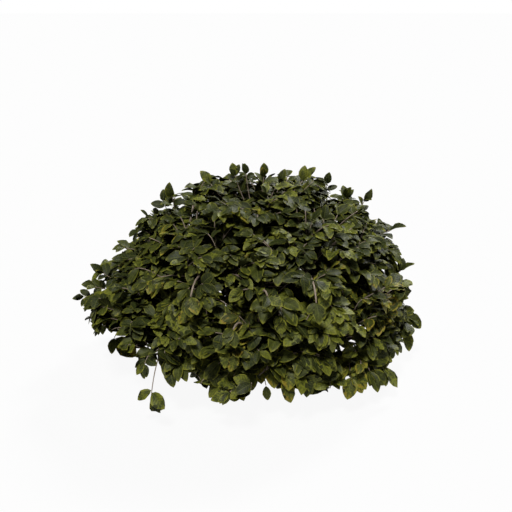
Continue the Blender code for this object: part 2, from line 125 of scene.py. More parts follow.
# Side twigs: where each leaves its shoot, to which hand, and how often it grows.
OUTER_SIDES = ((0.22, -1.0, 0.8), (0.40, 1.0, 0.9), (0.58, -1.0, 0.85), (0.76, 1.0, 0.7))
INNER_SIDES = ((0.35, -1.0, 1.0), (0.60, 1.0, 1.0))
SIDE_SCATTER, SIDE_STRETCH = 0.05, (0.12, 0.85)  # of the places where they leave
SIDE_SPLAY = (38.0, 62.0)  # in degrees
SIDE_LENGTHS = (0.70, 1.15)
SIDE_FULL, SIDE_LOSS = 1.12, 0.45  # they are shorter towards the shoot's end
SIDE_BEND = (0.75, 0.35, 0.10)  # how their run mixes their first way, the shoot's way and the light's
SIDE_FACING_SPREAD = 0.25
PARENT_TINT = 0.5  # how often a side twig has its shoot's tint

# Skirt: the height of the lowest leaves at SKIRT_SHARE of the crown's reach, how much higher they hang at
# the full reach, and the bays where they end higher still: the azimuth of each, its half width in degrees
# and its rise.
SKIRT_HEIGHT, SKIRT_SHARE, SKIRT_CURL = 0.055, 0.80, 0.08
SKIRT_INNER = -0.5  # how far inwards, in the same share, the curl goes on
SKIRT_RAGGED = 0.7  # how much higher a spray stays for each metre or share that it falls short of the reach
SKIRT_BAYS = {
    "left": (-165.0, 30.0, 0.125),
    "front_left": (-141.0, 8.0, 0.10),
    "notch": (-90.0, 7.0, 0.090),
    "right": (-8.0, 26.0, 0.035),
}

# Edge of the leafy surface as seen from the front: its share of the crown's reach, and the forms that go
# out (+) or in (-) from there: the angle of each round the crown's middle from +X over the top, its half
# width and its amount.
EDGE_SHARE = 0.960
EDGE_FORMS = {
    "right_bay": (7.0, 9.0, -0.06),
    "shoulder_bay": (40.0, 6.0, -0.05),
    "upper_right_bay": (56.0, 7.0, -0.03),
    "crown_bay": (79.0, 5.0, -0.025),
    "crown_tip": (92.0, 8.0, 0.012),
    "left_shoulder": (131.0, 8.0, 0.015),
    "left_bay": (148.0, 12.0, -0.04),
    "left_tip": (172.0, 4.0, 0.02),
    "left_foot_bay": (187.0, 8.0, -0.12),
    "front": (270.0, 55.0, 0.045),
}

# Gaps through the leaves, open to the ground behind: the front and back end of each gap's middle line, its
# half width and its half height.
GAPS = {
    "front_left": ((-0.301, -0.450, 0.206), (-0.362, -0.068, 0.0), 0.024, 0.046),
    "notch": ((0.032, -0.450, 0.155), (0.035, -0.180, 0.0), 0.024, 0.036),
    "left_middle": ((-0.092, -0.450, 0.435), (-0.136, 0.300, 0.0), 0.007, 0.007),
    "right_middle": ((0.138, -0.450, 0.435), (0.204, 0.300, 0.0), 0.007, 0.007),
    "low_left": ((-0.160, -0.450, 0.287), (-0.206, 0.110, 0.0), 0.013, 0.008),
}
GAP_SAMPLES = 13  # points along each twig that are tried against the gaps
MIDRIB_SAMPLES = np.linspace(0.1, 0.9, 5)  # and along each leaf
LEAF_CLEARANCE = 0.008  # how far midribs keep from a gap

# Long sprays that give the crown its furthest tips: the tip, how far the spray rises (+) or hangs (-) at its
# end, the size of its leaves, how many pairs it bears, how many leaves close it, and its tint.
LONG_SPRAYS = {
    # The deep tint of this spray is painted shade: this sprig faces away from the light.
    "crown_tip": ((-0.038, 0.04, 0.724), 0.9, 0.66, 2, 3, "deep"),
    "crown_tip_left": ((-0.078, 0.03, 0.718), 0.6, 0.66, 3, 3, "deep"),
    "crown_pair": ((0.030, 0.02, 0.726), 0.8, 0.80, 1, 2, "olive"),
    "crown_round": ((0.186, 0.03, 0.704), 0.3, 0.85, 2, 3, "olive_mottled"),
    "crown_low": ((0.095, 0.02, 0.698), 0.6, 0.75, 2, 3, "deep_mottled"),
    # The deep tint of this spray is painted shade: this sprig faces away from the light.
    "crown_painted_shade": ((0.243, 0.05, 0.680), 0.5, 0.62, 2, 3, "deep"),
    "crown_right": ((0.318, 0.0, 0.652), 0.4, 0.85, 2, 3, "deep_mottled"),
    "shoulder_right": ((0.382, 0.0, 0.632), 0.5, 0.68, 3, 3, "turning"),
    "right_slim": ((0.505, 0.0, 0.518), 0.2, 0.85, 1, 1, "deep"),
    "right_high": ((0.545, 0.0, 0.375), 0.1, 0.85, 2, 2, "deep_mottled"),
    "right_tip": ((0.592, -0.03, 0.152), -0.2, 0.85, 2, 3, "olive"),
    "right_hanging": ((0.560, -0.05, 0.072), -1.0, 1.00, 1, 2, "deep"),
    "right_foot": ((0.515, -0.150, 0.107), -0.4, 1.00, 3, 3, "deep_mottled"),
    "right_low": ((0.455, -0.300, 0.060), -0.4, 1.20, 3, 3, "olive"),
    "right_low_inner": ((0.395, -0.350, 0.068), -0.5, 1.15, 3, 3, "deep_mottled"),
    "front_right_low": ((0.305, -0.415, 0.074), -0.6, 1.20, 3, 3, "turning"),
    "front_middle": ((0.190, -0.455, 0.112), -0.7, 1.20, 3, 3, "olive_mottled"),
    "front_left_middle": ((0.110, -0.455, 0.100), -0.8, 1.20, 3, 2, "turning"),
    "front_low_right": ((-0.012, -0.430, 0.122), -0.7, 0.95, 2, 2, "deep"),
    "front_single": ((0.042, -0.430, 0.062), -0.6, 1.05, 0, 1, "olive"),
    "front_low": ((-0.105, -0.445, 0.075), -0.8, 1.20, 2, 3, "turning"),
    "front_low_left": ((-0.128, -0.430, 0.090), -0.7, 1.15, 3, 3, "olive"),
    "front_left_corner": ((-0.258, -0.425, 0.138), -0.5, 1.10, 3, 3, "deep_mottled"),
    "front_left_low": ((-0.215, -0.440, 0.152), -0.6, 1.05, 3, 3, "olive"),
    "front_left_hanging": ((-0.322, -0.492, 0.058), -1.3, 0.95, 1, 2, "olive_mottled"),
    "front_left_inner": ((-0.362, -0.395, 0.140), -0.8, 0.75, 2, 3, "deep"),
    "left_low": ((-0.545, -0.100, 0.052), -0.4, 1.38, 0, 2, "turning_blotched"),
    "left_front": ((-0.493, -0.180, 0.290), -0.3, 0.90, 3, 3, "olive_mottled"),
    "left_front_tip": ((-0.530, -0.120, 0.275), -0.2, 0.85, 3, 3, "olive"),
    "left_small": ((-0.580, -0.060, 0.122), -0.4, 0.70, 3, 3, "deep_mottled"),
    "left_tip_upper": ((-0.607, -0.020, 0.302), 0.0, 0.72, 2, 2, "deep_mottled"),
    "left_tip": ((-0.655, -0.020, 0.250), -0.1, 0.72, 4, 3, "deep"),
    "left_step": ((-0.575, 0.0, 0.362), 0.1, 0.80, 3, 3, "deep"),
    "left_upper": ((-0.505, 0.0, 0.440), 0.2, 0.80, 3, 3, "deep_mottled"),
    "left_slim": ((-0.385, 0.0, 0.562), 0.8, 0.75, 1, 1, "deep"),
    "left_shoulder": ((-0.392, 0.0, 0.538), 0.1, 0.70, 2, 3, "deep_mottled"),
    # The deep tint of this spray is painted shade: this sprig faces away from the light.
    "crown_left_painted_shade": ((-0.325, 0.03, 0.625), 0.5, 0.70, 2, 3, "deep"),
    "crown_left": ((-0.290, 0.0, 0.658), 0.3, 0.80, 3, 2, "olive"),
    "crown_left_tip": ((-0.175, 0.02, 0.692), 0.5, 0.72, 1, 2, "olive"),
    "back_tip": ((-0.020, 0.575, 0.210), -0.1, 0.85, 3, 3, "olive"),
}

# Bare sprays, in the same terms: stout twigs that come out through the leaves at the front and hang over
# them.
BARE_SPRAYS = {
    "right": ((0.177, -0.495, 0.377), -1.3, 0.95, 0, 3, "olive"),
    "middle": ((0.046, -0.500, 0.411), -1.2, 0.90, 0, 3, "olive_mottled"),
    "left": ((-0.086, -0.530, 0.318), -1.1, 0.95, 0, 3, "olive"),
    "far_left": ((-0.197, -0.470, 0.391), -1.0, 0.90, 0, 3, "deep_mottled"),
}
LONG_LIFT, LONG_LIFT_LOSS = 0.35, 0.5  # how long sprays leave their mass, by how they rise at their end
LAST_LEAF, PAIR_ROOM = 1.9, 0.45  # leaf gaps past the twig's end, and before its first pair


class Habit(NamedTuple):
    """How one kind of twig grows.

    It lifts at its start. Its end bends up (+) or down (-), more so low down, and differs from twig to
    twig. It is held inside a share of its limit. It bears leaves from a share of its length on, and their
    size is the usual one times a factor.
    """

    lift: float
    bend: float = 0.0
    bend_low: float = 0.0
    differ: float = 0.0
    held: float = 1.0
    leafy_from: float = LEAFLESS
    leaf_size: float = 1.0


HABITS = {
    "arms": Habit(0.15),
    "shoots": Habit(0.30, -0.25, -0.45, 0.22, 0.93, 0.35, 1.00),
    "inner": Habit(0.20, -0.15, 0.0, 0.20, 0.86, 0.25, 1.05),
    "sides": Habit(0.10, -0.20, -0.40, 0.25, 0.95, 0.16, 0.96),
}

# Twig meshes: the sides and rings of each kind, their taper, the swell at the foot, the knots along them,
# and the lanes of the twig map that their skins share.
TWIG_GRIDS = {
    "stems": (10, 8), "arms": (8, 9), "shoots": (7, 12), "inner": (6, 10), "sides": (5, 9), "long": (7, 14),
    "bare": (8, 14),
}
TWIG_TAPER = 0.8
STEEP = 0.8  # rings are laid out from +X on paths that rise more than this share of their length
FOOT_SWELL, FOOT_SWELL_RATE = 0.35, 14.0
KNOTS, KNOT_RATE = 0.07, 47.0
TWIG_LANES, LANE_MARGIN = 8, 0.04
TWIG_CAPS = (0.5 / TWIG_LANES, 0.008)  # middle and radius of the caps' place on the map

# Stem and boughs: sides and rings, the fork dome, and the collar and the slow bends of a bough.
STEM_SIDES, STEM_RINGS, STEM_CROWDING = 64, 56, 1.15
DOME_RINGS, DOME_TURN, DOME_HEIGHT, DOME_RUN = 8, 0.96, 0.010, 0.012
BOUGH_SIDES, BOUGH_RINGS, BOUGH_PATCHES = 24, 64, 4
COLLAR, COLLAR_LENGTH = 0.55, 0.022
BOUGH_BEND, BOUGH_BEND_RATES = 0.05, (40.0, 85.0)
BOUGH_RELIEF = 0.35  # of the stem's depth
LIMB_CAPS = (0.985, 0.010)
MAP_MARGIN = 0.02
BARK_LANE_SCALE, BARK_LANE_STEP = 0.30, 0.5  # how the bark pattern is drawn out, and set apart by limb

# Bark relief: amounts of the wander with rates a metre; turns round the limb, share of the wander, rate a
# metre and amount of the ridges; turns, two rates a metre and amount of the scales.
BARK_WANDER = ((0.50, 31.0), (0.35, 73.0))
BARK_RIDGES = ((7.0, 0.22, 0.0, 0.55), (13.0, -0.15, 120.0, 0.25))
BARK_SCALES = (5.0, 240.0, 170.0, 0.30)

# Where leaves turn to: the light, the front on long sprays, and outwards, more so low down.
LIGHT_SIDE = (0.06, -0.14, 1.10)
LONG_FACING = (0.0, -0.45, 0.0)
FACING_OUT, FACING_OUT_LOW = 0.20, 0.85
NEAR_AXIS = 0.15  # nearer to the middle than this, outwards counts less
TURNS_BELOW = 0.35  # height below which leaves turn outwards and hang

# Leaves on a twig: pairs a leaf gap apart back from its end, and a rosette that closes it.
LEAFY_KINDS, FREE_KINDS = ("shoots", "inner", "sides", "long", "bare"), ("long", "bare")
PAIR_HANDS, ROSETTE_HANDS = (-1.0, 1.0), (0.0, -1.0, 1.0)
PAIR_SPLAY, ROSETTE_SPLAY = (42.0, 68.0), (18.0, 40.0)  # in degrees
FIRST_PAIR, PAIR_SCATTER = 0.85, 0.10  # in leaf gaps
GAP_LEAST, GAP_SPREAD = 0.9, 0.2
HAND_STEP = 0.0012  # one leaf of a pair sits a little further on
TWIG_FACING_SPREAD, FACING_SPREAD, AIM_SPREAD, TURN_SPREAD = 0.21, 0.20, 0.12, 0.22
DROOP_SPREAD = (0.4, 1.6)
SIZE_SPREAD = (0.72, 1.20)
END_LEAF, END_SIDE_LEAF = 0.86, 0.74  # sizes in the rosette
PAIR_LOSS, PAIR_LOSS_FROM = 0.10, 1.6  # pairs near the end are smaller
PAIR_KEPT = 0.93  # the share of leaves that haven't fallen
LEAF_MASS = 4  # which of the arrays that describe leaves says their masses
LOW_LEAF, HIGH_LEAF_LOSS, LEAF_LOSS_POWER = 1.06, 0.24, 1.3
HOLD_LEAF_STEPS, HOLD_LEAF_TURN = 5, 0.38
OVER_TOP, UNDER_TOP = 0.008, 0.004  # how far leaves of long sprays pass the top, and others stay under it
FREE_SIDE = 0.5  # the share of the height up to which long sprays are held by their reach


class Tint(NamedTuple):
    """One tint of leaves.

    Its share of the sprays, how much commoner it is low down than high up, which is partly painted light, how
    pale its rim is, its ochre blotches if it is turning, and the colour settings of its shaded and its pale
    part.
    """

    share: float
    low: float
    rim: float
    blotch: float
    dark: str
    light: str


TINTS = {
    "deep": Tint(0.35, -0.45, 0.45, 0.0, "deep_dark", "deep_light"),
    "deep_mottled": Tint(0.18, -0.25, 0.70, 0.0, "deep_dark", "olive_light"),
    "olive": Tint(0.15, 0.3, 0.90, 0.0, "olive_dark", "olive_light"),
    "olive_mottled": Tint(0.10, 0.3, 0.95, 0.0, "deep_light", "fresh_light"),
    "fresh": Tint(0.09, 0.5, 1.00, 0.0, "fresh_dark", "fresh_light"),
    "fresh_mottled": Tint(0.06, 0.5, 1.00, 0.0, "olive_dark", "fresh_light"),
    "turning": Tint(0.050, 1.0, 1.00, 0.7, "olive_dark", "fresh_light"),
    "turning_blotched": Tint(0.038, 1.0, 1.00, 1.0, "olive_dark", "fresh_dark"),
}
# The lean with the height is partly painted light: deep tints high up for the top's bluish sheen, paler ones
# low down for the brighter low front; turning ones low down are older leaves.
TINTS_AGE_AND_PAINTED_LIGHT_BELOW, TINTS_AGE_AND_PAINTED_LIGHT_LEAN, TINTS_AGE_AND_PAINTED_LIGHT_HIGH = 0.5, 1.4, -0.4  # how the chances of tints lean with the height

# Leaf map: patches along each side, the margin left free in each as a share of it, the patch of each tint,
# and those of the undersides of green and of turning leaves.
CELLS = 4
CELL_MARGIN = 0.02
TINT_CELLS = [(number % CELLS, number // CELLS) for number in range(len(TINTS))]
UNDER_CELLS = ((0, 3), (1, 3))
MAP_NAME = "OFBake"

# Leaf shape: rows along it and columns across it, the powers of its outline, and how much single leaves
# differ.
STALK_SHARE = 0.06
LEAF_ROWS = (STALK_SHARE, 0.16, 0.34, 0.55, 0.76, 0.92)
LEAF_COLUMNS = (-1.0, -0.5, 0.0, 0.5, 1.0)
OUTLINE_POWER, OUTLINE_FULLNESS = 0.88, 0.72
WIDTH_SPREAD, CURL_SPREAD, FOLD_SPREAD, WAVE_SPREAD = (0.84, 1.14), (0.2, 2.0), (0.2, 1.7), (0.3, 1.8)
RAGGED = 0.03
BOW, SWELL = 0.05, 0.10  # rise along the blade by its length, and of each half by its width
WAVE_ALONG, WAVE_ACROSS = 8.0, 1.9
THINNEST = 0.15  # outline share below which the blade gets no thinner
SHARP_EDGE = 95.0  # degrees

# Leaf veins: how many side veins, their slope and sharpness, and the bands of the midrib, the veins and the
# rim.
VEINS, VEIN_SLOPE, VEIN_SHARPNESS = 7.0, 1.5, 7.0
MIDRIB_BAND, VEIN_BAND, RIM_BAND = (0.10, 0.02), (1.0, 0.55), (0.77, 0.98)
TIP_SHARE, RIM_RAGGED = 0.985, 0.24
NOISE_MIDDLE = 0.5  # what noise from 0 to 1 varies about
MOTTLE_MIX = (0.60, 0.30, 0.14, 0.10)  # of broad and fine noise, the edge and, taken away, the veins' crests
BLOTCH_MIX = (0.8, 0.25, 0.55)  # of the same without the crests
MOTTLE_BAND, BLOTCH_BAND, BLOTCH_GAIN = (0.36, 0.66), (1.12, 1.30), 0.28
VEIN_PALE, MIDRIB_PALE = 0.42, 0.60

UPPER_SIDE, UNDERSIDE = (-0.6, -0.8, 0.44), (0.8, 1.0, 0.56)  # lift of veins and midrib, least roughness
UNDERSIDE_RIM, UNDERSIDE_BLOTCH = 0.85, 0.6
GRAIN_LIFT, GRAIN_DULL, VEIN_DULL = 0.25, 0.16, 0.10  # what fine noise and veins add to height and roughness

MIX_SHARE, MIX_FIRST, MIX_SECOND, MIX_COLOUR = 0, 6, 7, 2  # sockets of a Mix node where it mixes colours

# Twigs and bark: the bands of young skin, of flecks, of furrows and of worn ridges, and how pale they are.
YOUNG_BAND, YOUNG_RAGGED = (0.15, 0.85), 0.9
FLECK_BAND, FLECKS_PALE = (0.56, 0.70), 0.55
FURROW_BAND, WORN_BAND, WORN_PALE = (0.34, 0.62), (0.50, 0.70), 0.7
WORN_MIX = (0.6, 0.4)  # of patches and fine noise
BARK_GRAIN, BARK_DULL = 0.4, 0.2  # what fine noise adds to the height, and broad noise to the roughness

# Finishes: specular level, least roughness, and distance and strength of the relief.
LEAF_GLOSS, UNDERSIDE_GLOSS, TWIG_GLOSS, BARK_GLOSS = 0.23, 0.10, 0.30, 0.25
TWIG_ROUGHNESS, BARK_ROUGHNESS, FLOOR_ROUGHNESS = 0.62, 0.7, 0.9
LEAF_RELIEF, TWIG_RELIEF, BARK_RELIEF = (0.0009, 0.6), (0.0006, 0.6), (0.0012, 0.7)

# Noise of each finish: scale, detail and roughness.
LEAF_BROAD, LEAF_FINE = (13.0, 3.0, 0.6), (60.0, 2.0, 0.5)
TWIG_BROAD, TWIG_FINE = (16.0, 3.0, 0.6), (70.0, 2.0, 0.5)
BARK_BROAD, BARK_FINE, BARK_PATCHES = (90.0, 4.0, 0.6), (420.0, 3.0, 0.6), (28.0, 2.0, 0.5)

# Pieces: the masses whose leaves, and whose twigs, are joined.
PIECES = {
    "crown": ("top",),
    "shoulder_front": ("upper_1", "upper_5"),
    "shoulder_right": ("upper_2",),
    "shoulder_back": ("upper_3", "upper_4"),
    "skirt_front": ("lower_1", "lower_2", "lower_7"),
    "skirt_right": ("lower_3", "lower_4"),
    "skirt_left": ("lower_5", "lower_6"),
}

# Stage.
WHITE = (1.0, 1.0, 1.0)
FLOOR_GREY = (0.56, 0.56, 0.56)
FLOOR_HALF, FLOOR_LEVEL = 60.0, -0.0008
SUN_DISTANCE = 4.0
SENSOR_WIDTH, CLIP_END = 36.0, 100.0


def outward(azimuth):
    """Level unit vectors at azimuths in radians from +X."""
    azimuth = np.asarray(azimuth, float)
    return np.stack([np.cos(azimuth), np.sin(azimuth), np.zeros_like(azimuth)], axis=-1)


def unit(vectors):
    """Vectors over their lengths."""
    return vectors / np.maximum(np.linalg.norm(vectors, axis=-1, keepdims=True), TINY)


def dot(first, second):
    """Dot products along the last axis, kept as a column."""
    return (first * second).sum(axis=-1, keepdims=True)


def angles_round(sides):
    """Equal steps round a circle, in radians."""
    return np.linspace(0.0, math.tau, sides, endpoint=False)


def lowness(points, height):
    """How low points lie, as a column: 1 on the ground, less further up and 0 from a height on."""
    return np.clip(1.0 - points[..., 2:] / height, 0.0, 1.0)


def on_patch(share, number, count, margin):
    """Places at shares of one of a count of equal patches side by side, with a margin left free in each."""
    return (number + margin + (1.0 - 2.0 * margin) * share) / count


def crown_radius(crown, azimuth, height):
    """Reach of the crown's surface from the stem's axis.

    In plan it is four quarter ellipses. Above its widest height it follows the superellipse
    (1 - rise^power)^(1/power) to the top, and below it draws in by the square of the depth. Low lobes, a sine
    of azimuth and height, wind round it.
    """
    east, north = np.cos(azimuth), np.sin(azimuth)
    reach_x = np.where(east > 0, crown.reach_right, crown.reach_left)
    reach_y = np.where(north > 0, crown.reach_back, crown.reach_front)
    plan = 1.0 / np.hypot(east / reach_x, north / reach_y)
    widest = WIDEST_HEIGHT + WIDEST_HEIGHT_SWING * east
    power = PROFILE_POWER + PROFILE_POWER_SWING * east
    rise = np.clip((height - widest) / (crown.top - widest), 0.0, 1.0)
    above = (1.0 - rise**power) ** (1.0 / power)
    below = 1.0 - DRAW_IN_AT_GROUND * np.clip(1.0 - height / widest, 0.0, None) ** 2
    lobes = 1.0 + LOBE_DEPTH * np.sin(LOBES_ROUND * azimuth + LOBE_TWIST * height)
    return plan * np.where(height > widest, above, below) * lobes


def crown_share(crown, points):
    """How far points lie out, as a share of the crown's reach at their azimuth and height."""
    reach = crown_radius(crown, np.arctan2(points[..., 1], points[..., 0]), points[..., 2])
    return np.hypot(points[..., 0], points[..., 1]) / np.maximum(reach, LEAST_REACH)


def stem_axis(height):
    """Middle of the stem at heights: it leans towards -X with the power 1.5 of the height."""
    height = np.asarray(height, float)
    lean = -STEM_LEAN * (np.clip(height, 0.0, None) / STEM_HEIGHT) ** LEAN_POWER
    return np.stack([lean, np.zeros_like(height), height], axis=-1)


def bezier(handles, shares):
    """Points of cubic curves: handles (curves, 4, 3) and shares (curves, points) give (curves, points, 3)."""
    share = shares[..., None]
    rest = 1.0 - share
    start, leave, arrive, end = (handles[:, None, corner] for corner in range(4))
    return start * rest**3 + leave * 3 * rest**2 * share + arrive * 3 * rest * share**2 + end * share**3


def bezier_way(handles, shares):
    """Unit tangents of cubic curves at shares of their parameter."""
    share = shares[..., None]
    rest = 1.0 - share
    steps = handles[:, 1:] - handles[:, :-1]
    first, second, third = (steps[:, None, corner] for corner in range(3))
    return unit(first * rest**2 + second * 2 * rest * share + third * share**2)


def bells(angle, forms):
    """Sum of bells round a circle: each is its amount times exp(-(turn / half width)^2), in degrees."""
    total = np.zeros_like(angle)
    for middle, half_width, amount in forms.values():
        turn = (angle - middle + 180.0) % 360.0 - 180.0
        total += amount * np.exp(-((turn / half_width) ** 2))
    return total


def skirt_height(crown, points, limit):
    """Lowest height of the leaves at points: the skirt with its bays, curling up towards the rim.

    Sprays whose limit is a smaller share of the crown's reach also stay higher.
    """
    azimuth = np.degrees(np.arctan2(points[..., 1], points[..., 0]))
    past = np.clip((crown_share(crown, points) - SKIRT_SHARE) / (1.0 - SKIRT_SHARE), SKIRT_INNER, None)
    return SKIRT_HEIGHT + bells(azimuth, SKIRT_BAYS) + SKIRT_CURL * past + SKIRT_RAGGED * (1.0 - limit)


def edge_share(points):
    """Share of the crown's reach that leaves fill, by the angle of points round its middle from the front."""
    angle = np.degrees(np.arctan2(points[..., 2] - WIDEST_HEIGHT, points[..., 0]))
    return EDGE_SHARE + bells(angle, EDGE_FORMS)


class Mass:
    """The plan of one leafy mass: its name, middle, bough and the end of that bough."""

    def __init__(self, crown, ring, number):
        plan = RINGS[ring]
        self.label = ring if plan["count"] == 1 else f"{ring}_{number + 1}"
        self.core = np.array(plan["core"])
        azimuth = math.radians(plan["first"] + 360.0 * number / plan["count"])
        self.out = outward(azimuth)
        self.round = np.cross(UP, self.out)
        reach = plan["share"] * float(crown_radius(crown, azimuth, plan["height"]))
        self.middle = self.out * reach + UP * plan["height"]
        start = stem_axis(plan["starts"][number % len(plan["starts"])])
        slope = math.radians(plan["slope"])
        rising = self.out * math.cos(slope) + UP * math.sin(slope)
        run = np.linalg.norm(self.middle - start)
        leave = start + rising * (BOUGH_LEAVES * run)
        self.arriving = unit(self.middle - leave)
        self.bough_end = self.middle - self.arriving * (self.core_reach(-self.arriving) + MASS_STEM_LENGTH)
        arrive = self.bough_end - self.arriving * (BOUGH_ARRIVES * run)
        self.handles = np.array([start, leave, arrive, self.bough_end])
        self.radius = plan["radius"]

    def core_reach(self, way):
        """How far the core's egg shape reaches from its middle along a unit vector."""
        parts = np.array([way @ self.out, way @ self.round, way[2]])
        return 1.0 / np.linalg.norm(parts / self.core)


def all_masses(crown):
    """Every mass, ring by ring from the top."""
    return [Mass(crown, ring, number) for ring in RINGS for number in range(RINGS[ring]["count"])]


def surface_targets(crown, count, reach, seed):
    """Where shoots end: points spread evenly over the crown by the golden angle, then scattered a little.

    The height of each comes from its share of the surface's area, which is added up ring by ring.
    """
    chance = random.Random(seed)
    highest = crown.top * HIGHEST_SHOOT
    heights = np.linspace(LOWEST_SHOOT, highest, AREA_STEPS)
    reaches = (crown_radius(crown, 0.0, heights) + crown_radius(crown, math.pi, heights)) / 2
    slants = np.hypot(np.diff(heights), np.diff(reaches))
    areas = np.append(0.0, np.cumsum(slants * (reaches[1:] + reaches[:-1])))
    picks = []
    for number in range(count):
        height = float(np.interp(areas[-1] * (number + 0.5) / count, areas, heights))
        height += chance.uniform(-HEIGHT_SCATTER, HEIGHT_SCATTER)
        azimuth = number * GOLDEN_ANGLE + chance.uniform(-TURN_SCATTER, TURN_SCATTER)
        picks.append((min(max(height, LOWEST_SHOOT), highest), azimuth, chance.uniform(*reach)))
    height, azimuth, share = np.array(picks).T
    surface = outward(azimuth) * crown_radius(crown, azimuth, height)[:, None]
    surface[:, 2] = height
    return MIDDLE + (surface - MIDDLE) * share[:, None]


class Twigs:
    """Twigs of one kind as arrays, one entry for each twig.

    They say its handles, its first and last radius, its mass, the share of its length from which it is
    leafy, its leaves' size and tint, how many leaves close it, and how far they may go as a share of the
    crown's reach.
    """

    ARRAYS = ("handles", "radii", "mass", "leafy_from", "leaf_size", "tint", "end_leaves", "limit")

    def __init__(
        self, handles, radii, mass, leafy_from=LEAFLESS, leaf_size=1.0, tint=0, end_leaves=3, limit=1.0
    ):
        self.handles = np.array(handles, float).reshape(-1, 4, 3)

        def each(values, kind, *width):
            """One value, or one for each twig, as an array of them all."""
            return np.broadcast_to(np.array(values, kind), (len(self.handles), *width)).copy()

        self.radii = each(radii, float, 2)
        self.mass = each(mass, int)
        self.leafy_from = each(leafy_from, float)
        self.leaf_size = each(leaf_size, float)
        self.tint = each(tint, int)
        self.end_leaves = each(end_leaves, int)
        self.limit = each(limit, float)

    def points(self, count):
        """Points at even shares of every curve's parameter."""
        return bezier(self.handles, np.broadcast_to(np.linspace(0.0, 1.0, count), (len(self.handles), count)))

    def lengths(self):
        """Rough lengths of the curves, from a few points on each."""
        return np.linalg.norm(np.diff(self.points(LENGTH_POINTS), axis=1), axis=2).sum(axis=1)

    def chosen(self, keep):
        """The twigs that a mask keeps."""
        return Twigs(*(getattr(self, name)[keep] for name in self.ARRAYS))

    def clear_of_gaps(self):
        """The twigs that cross no gap."""
        return self.chosen(~crosses_gap(self.points(GAP_SAMPLES)))


def joined_twigs(groups):
    """Several groups of twigs as one."""
    return Twigs(*(np.concatenate([getattr(group, name) for group in groups]) for name in Twigs.ARRAYS))


def crosses_gap(points, clearance=0.0):
    """Which rows of points have one in a gap, the ellipse round its middle line, or too near it."""
    inside = np.zeros(len(points), bool)
    for front, back, half_width, half_height in GAPS.values():
        front, back = np.array(front), np.array(back)
        share = (points[..., 1:2] - front[1]) / (back[1] - front[1])
        off = points - front - (back - front) * share
        across, upright = off[..., 0] / (half_width + clearance), off[..., 2] / (half_height + clearance)
        inside |= (np.hypot(across, upright) < 1.0).any(axis=1)
    return inside


def nearest(points, middles):
    """The number of the nearest mass to each point."""
    return np.linalg.norm(points[:, None] - middles, axis=2).argmin(axis=1)


def held_inside(crown, ends, limit, share):
    """Points pulled to the crown's middle until none lies past a share of its limit or under the skirt."""
    ends = ends.copy()
    for _ in range(HOLD_STEPS):
        reach = share * limit * edge_share(ends)
        past = np.maximum(crown_share(crown, ends) / reach, ends[:, 2] / (crown.top * reach))
        ends = MIDDLE + (ends - MIDDLE) / np.clip(past, 1.0, None)[:, None]
    ends[:, 2] = np.maximum(ends[:, 2], skirt_height(crown, ends, limit))
    return ends


def curved(start, leave, arrive, end):
    """Handles of curves that leave their start one way and arrive at their end another."""
    run = np.linalg.norm(end - start, axis=-1, keepdims=True)
    first, last = start + leave * run * FIRST_HANDLE, end - arrive * run * LAST_HANDLE
    return np.stack([start, first, last, end], axis=1)


def arched(habit, start, end, leave, own_bend):
    """Handles of twigs that lift as they leave their start and bend as they near their end, by a habit."""
    straight = unit(end - start)
    bend = habit.bend + habit.bend_low * lowness(end, HANGS_BELOW) + own_bend
    first = unit(leave * LEAVE_PULL + straight * STRAIGHT_PULL + UP * habit.lift)
    return curved(start, first, unit(straight + UP * bend), end)


def grown(crown, dice, kind, start, end, leave, radii, mass, limit, parent_tint=None):
    """Twigs of one kind by its habit, each with a tint of its own or, by chance, its parent's."""
    habit = HABITS[kind]
    handles = arched(habit, start, end, leave, dice.normal(0.0, habit.differ, (len(end), 1)))
    if parent_tint is None:
        tint = spray_tints(dice, end)
    else:
        tint = np.where(dice.random(len(end)) < PARENT_TINT, parent_tint, spray_tints(dice, end))
    size = leaf_scale(crown, end) * habit.leaf_size
    return Twigs(handles, radii, mass, habit.leafy_from, size, tint, limit=limit)


def leaf_scale(crown, points):
    """Size of leaves: largest low down and smallest on the young sprays at the top."""
    height = np.clip(points[:, 2] / crown.top, 0.0, 1.0)
    return LOW_LEAF - HIGH_LEAF_LOSS * height**LEAF_LOSS_POWER


def spray_tints(dice, points):
    """A tint for each spray, by weight: deep tints are commoner high up, and turning ones low down.

    The lean is partly painted light: deep tints high up stand for the bluish look that the sky's reflection
    gives the top, and paler ones low down for the brighter light on the low front. Turning ones low down are
    older leaves.
    """
    share = np.array([tint.share for tint in TINTS.values()])
    low = np.array([tint.low for tint in TINTS.values()])
    chance = share * (1.0 + low * (TINTS_AGE_AND_PAINTED_LIGHT_LEAN * lowness(points, TINTS_AGE_AND_PAINTED_LIGHT_BELOW) + TINTS_AGE_AND_PAINTED_LIGHT_HIGH))
    chance = np.cumsum(chance, axis=1) / chance.sum(axis=1, keepdims=True)
    return (dice.random((len(points), 1)) > chance).sum(axis=1)


